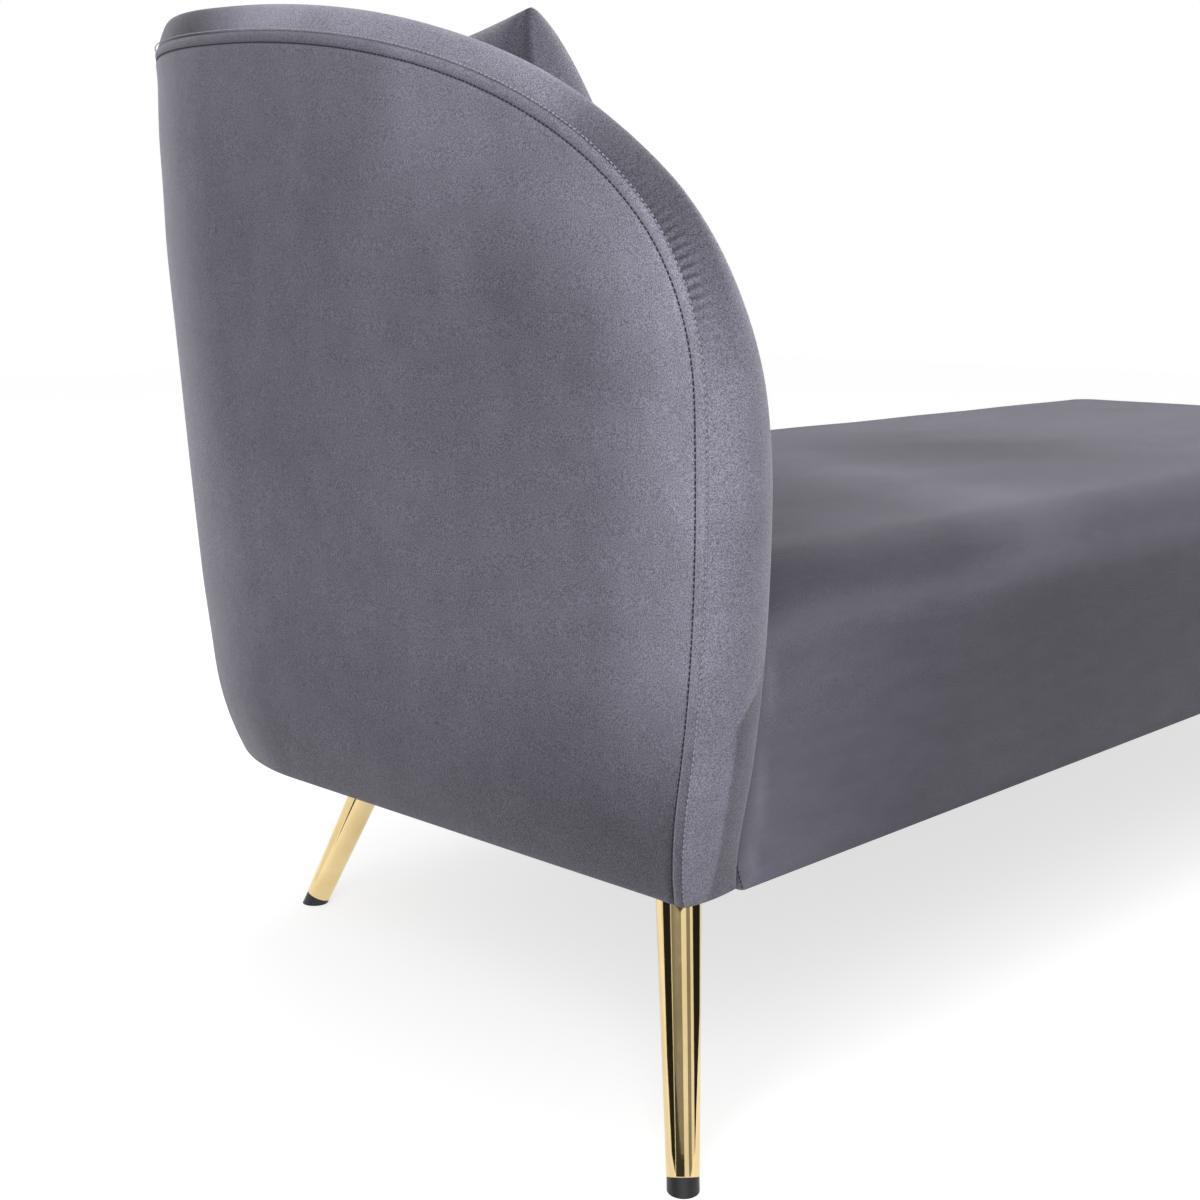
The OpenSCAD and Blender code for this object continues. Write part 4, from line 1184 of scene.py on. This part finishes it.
def pillow_face(side, inset, full):
    """One face of the pillow: crowned in its middle, its sides drawn in."""
    turn = np.linspace(-pi / 2, pi / 2, 77)
    u, v = np.meshgrid(np.sin(turn), np.sin(turn), indexing="ij")
    half = pillow_half - inset
    crown = (pillow_thickness / 2 - inset) * full * ((1 - u * u) * (1 - v * v)) ** pillow_fullness
    wander = seam_wander(u, v, front_reach if side > 0 else back_reach)
    return np.stack([
        half * u * (1 - pillow_draw / half * (1 - v * v) * np.abs(u)),
        half * v * (1 - pillow_draw / half * (1 - u * u) * np.abs(v)),
        side * (crown + seam_half * (inset == 0)) - wander,
    ], -1)


def rim_of(upper_face, lower_face):
    """The strip that joins the two faces round the pillow's edge."""
    return np.stack([
        np.concatenate([face[:, 0], face[-1, 1:], face[-2::-1, -1], face[0, -2::-1]])
        for face in (upper_face, lower_face)
    ])


def pillow_piece(name, finish, inset, full):
    """The pillow's cover, or what lies at an inset inside it."""
    front, back = pillow_face(1, inset, full), pillow_face(-1, inset, full)
    return mesh_of(name, finish, [front, back, rim_of(front, back)])


cloth_frames, most_outward, most_inward, most_along = 20, 0.0002, 0.0035, 0.003


def relax(piece):
    """Blows the cover up as slack cloth, so that it gathers at its seam, and caps how
    far a point moves outward, inward and along the face."""
    start = np.array([v.co for v in piece.data.vertices])
    normals = np.array([v.normal for v in piece.data.vertices])
    cloth = piece.modifiers.new("cloth", "CLOTH")
    settings = cloth.settings
    settings.quality, settings.mass = 6, 0.3
    settings.tension_stiffness = settings.compression_stiffness = 12
    settings.shear_stiffness, settings.bending_stiffness = 4, 0.08
    settings.shrink_min = -0.035
    settings.use_pressure, settings.uniform_pressure_force = True, 4
    settings.effector_weights.gravity = 0
    cloth.collision_settings.use_collision = False
    cloth.point_cache.frame_start, cloth.point_cache.frame_end = 1, cloth_frames
    scene = bpy.context.scene
    for step in range(1, cloth_frames + 1):
        scene.frame_set(step)
    shaped = piece.evaluated_get(bpy.context.evaluated_depsgraph_get())
    moved = np.array([v.co for v in shaped.data.vertices]) - start
    piece.modifiers.remove(cloth)
    scene.frame_set(1)
    off = (moved * normals).sum(1)
    along = moved - off[:, None] * normals
    along *= np.minimum(1, most_along / np.maximum(np.linalg.norm(along, axis=1), 1e-9))[:, None]
    # The rim stays where it is, so that the seam runs even.
    from_edge = pillow_half - np.abs(start[:, :2]).max(1)
    free = above(from_edge, 0.012, 0.040)[:, None]
    off = np.clip(off - np.median(off), -most_inward, most_outward)
    placed = start + free * (along + off[:, None] * normals)
    piece.data.vertices.foreach_set("co", placed.astype(np.float32).ravel())
    piece.data.update()


pillow_velvet = velvet("velvet_of_pillow", (1, 1.4, 1), patch=5.0, contrast=0.14)
pillow = pillow_piece("pillow_velvet", pillow_velvet, 0, 1.0)
relax(pillow)
pillow.data.transform(stand_up)
# It is pressed flat where its weight rests on the seat.
rest_height = seat_height + seat_crown + 0.0003
for vertex in pillow.data.vertices:
    vertex.co.z = max(vertex.co.z, rest_height)
put_in_place(pillow, "velvet", "pillow", "pillow_cover")


def pillow_painted_shading(x, y, z):
    """Painted light and shade: lighter on the face towards the seat, darker on the other, and painted
    shade in the seam.
    """
    places = np.stack([x + rear_x, y + right_y, z, np.ones_like(x)], 1)
    u, v, off = (places @ np.array(stand_up.inverted()).T)[:, :3].T
    from_seam = off + seam_wander(u / pillow_half, v / pillow_half)
    near_edge = above(np.maximum(np.abs(u), np.abs(v)), 0.190, 0.015)
    # Painted shade in the seam's crease.
    painted_seam_shade = near(from_seam, 0, 0.0022) * near_edge
    # Painted light on the face towards the seat, painted shade on the other.
    return (0.92 + 0.75 * above(from_seam, -0.003, 0.006)) * (1 - 0.45 * painted_seam_shade)


# Paints the pillow's light and shade into its colour.
paint_light_and_shade(pillow, pillow_painted_shading)
fibre_finish = finish_of("fibre", colour_of(236, 236, 232), 1.0)
tufts = pattern(fibre_finish, "Noise", 160, Detail=5.0, Distortion=3.0)
tint(fibre_finish, tufts, colour_of(205, 205, 200), colour_of(242, 242, 239))
raise_surface(fibre_finish, tufts, 0.002)
filling = pillow_piece("pillow_fibre", fibre_finish, 0.0110, 0.90)
filling.data.transform(stand_up)
put_in_place(filling, "fibre", "pillow", "pillow_filling")


# Studio
# A plain pale floor and broad soft lamps. What stands round the piece is white
# to the camera and to the gold.
def math_node(tree, operation, *values):
    """A sum in a node tree, worked out on the outputs of other nodes."""
    sum_of = tree.nodes.new("ShaderNodeMath")
    sum_of.operation = operation
    for socket, value in zip(sum_of.inputs, values):
        tree.links.new(value, socket)
    return sum_of.outputs[0]


def seen_by(tree, first, *others):
    """1 for the named kinds of ray and 0 for all the rest."""
    rays = tree.nodes.new("ShaderNodeLightPath").outputs
    seen = rays[first]
    for kind in others:
        seen = math_node(tree, "MAXIMUM", seen, rays[kind])
    return seen


floor_reach, floor_whiteness = 9, 0.68
floor_mesh = bpy.data.meshes.new("floor")
floor_corners = [(x * floor_reach, y * floor_reach, 0) for x, y in ((-1, -1), (1, -1), (1, 1), (-1, 1))]
floor_mesh.from_pydata(floor_corners, [], [(0, 1, 2, 3)])
floor_finish = finish_of(
    "pale_floor", (0.45, 0.45, 0.45), 0.9, Specular_IOR_Level=0.1, Emission_Color=(1, 1, 1, 1),
)
floor_tree = floor_finish.node_tree
floor_seen = seen_by(floor_tree, "Is Camera Ray", "Is Glossy Ray")
floor_lift = math_node(floor_tree, "MULTIPLY", floor_seen)
floor_lift.node.inputs[1].default_value = floor_whiteness
set_input(floor_finish, "Emission Strength", floor_lift)
floor = piece_of("floor", floor_mesh, floor_finish)


def leg_card(name, start, end, brightness, distance=1.1, low=0.002, high=1.3):
    """A dark or grey card round the near leg that shows in its polish alone. The two
    ends are bearings round the leg, in degrees from the camera's side."""
    middle = np.array([rear_x - 0.02, right_y - 0.02])
    bearing = atan2(-heading.y, -heading.x) + np.radians(np.linspace(start, end, 9))
    foot = middle + distance * np.stack([np.cos(bearing), np.sin(bearing)], 1)
    sheet = np.stack([np.column_stack([foot, 0 * bearing + up]) for up in (low, high)])
    finish = finish_of(
        name, (0, 0, 0), 1.0, Specular_IOR_Level=0.0,
        Emission_Color=(1, 1, 1, 1), Emission_Strength=brightness,
    )
    card = mesh_of(name, finish, [sheet])
    card.visible_camera = card.visible_diffuse = card.visible_shadow = card.visible_transmission = False


leg_card("card_dark_left", -94, -52, 0.02)
leg_card("card_dark_middle", -48, 9, 0.05, high=0.38)
leg_card("card_brown_middle", -48, 9, 0.26, low=0.38)
leg_card("card_grey_right", 39, 61, 0.30)
leg_card("card_dark_right", 82, 135, 0.02, distance=0.4, high=0.8)

world = bpy.data.worlds.new("studio")
bpy.context.scene.world = world
world.use_nodes = True
sky = world.node_tree
sky.nodes.clear()
blend = sky.nodes.new("ShaderNodeMixShader")
shown = seen_by(sky, "Is Camera Ray", "Is Glossy Ray", "Is Transmission Ray")
sky.links.new(shown, blend.inputs[0])
room_light, shown_white = 0.62, 1.0
for side, strength in ((1, room_light), (2, shown_white)):
    light = sky.nodes.new("ShaderNodeBackground")
    light.inputs["Color"].default_value = (1, 1, 1, 1)
    light.inputs["Strength"].default_value = strength
    sky.links.new(light.outputs[0], blend.inputs[side])
out = sky.nodes.new("ShaderNodeOutputWorld")
sky.links.new(blend.outputs[0], out.inputs["Surface"])


def soft_lamp(name, place, aim, width, power):
    """A broad square lamp that faces a point."""
    lamp = bpy.data.lights.new(name, "AREA")
    lamp.size, lamp.energy = width, power
    stand = bpy.data.objects.new(name, lamp)
    stand.location = place
    stand.rotation_euler = (Vector(aim) - Vector(place)).to_track_quat("-Z", "Y").to_euler()
    bpy.context.scene.collection.objects.link(stand)


soft_lamp("lamp_behind", (-3.2, -1.8, 2.2), (-0.6, 0, 0.5), 2.2, 72)
soft_lamp("lamp_above", (0.6, 0.2, 3.4), (0, 0, 0.4), 3.0, 70)
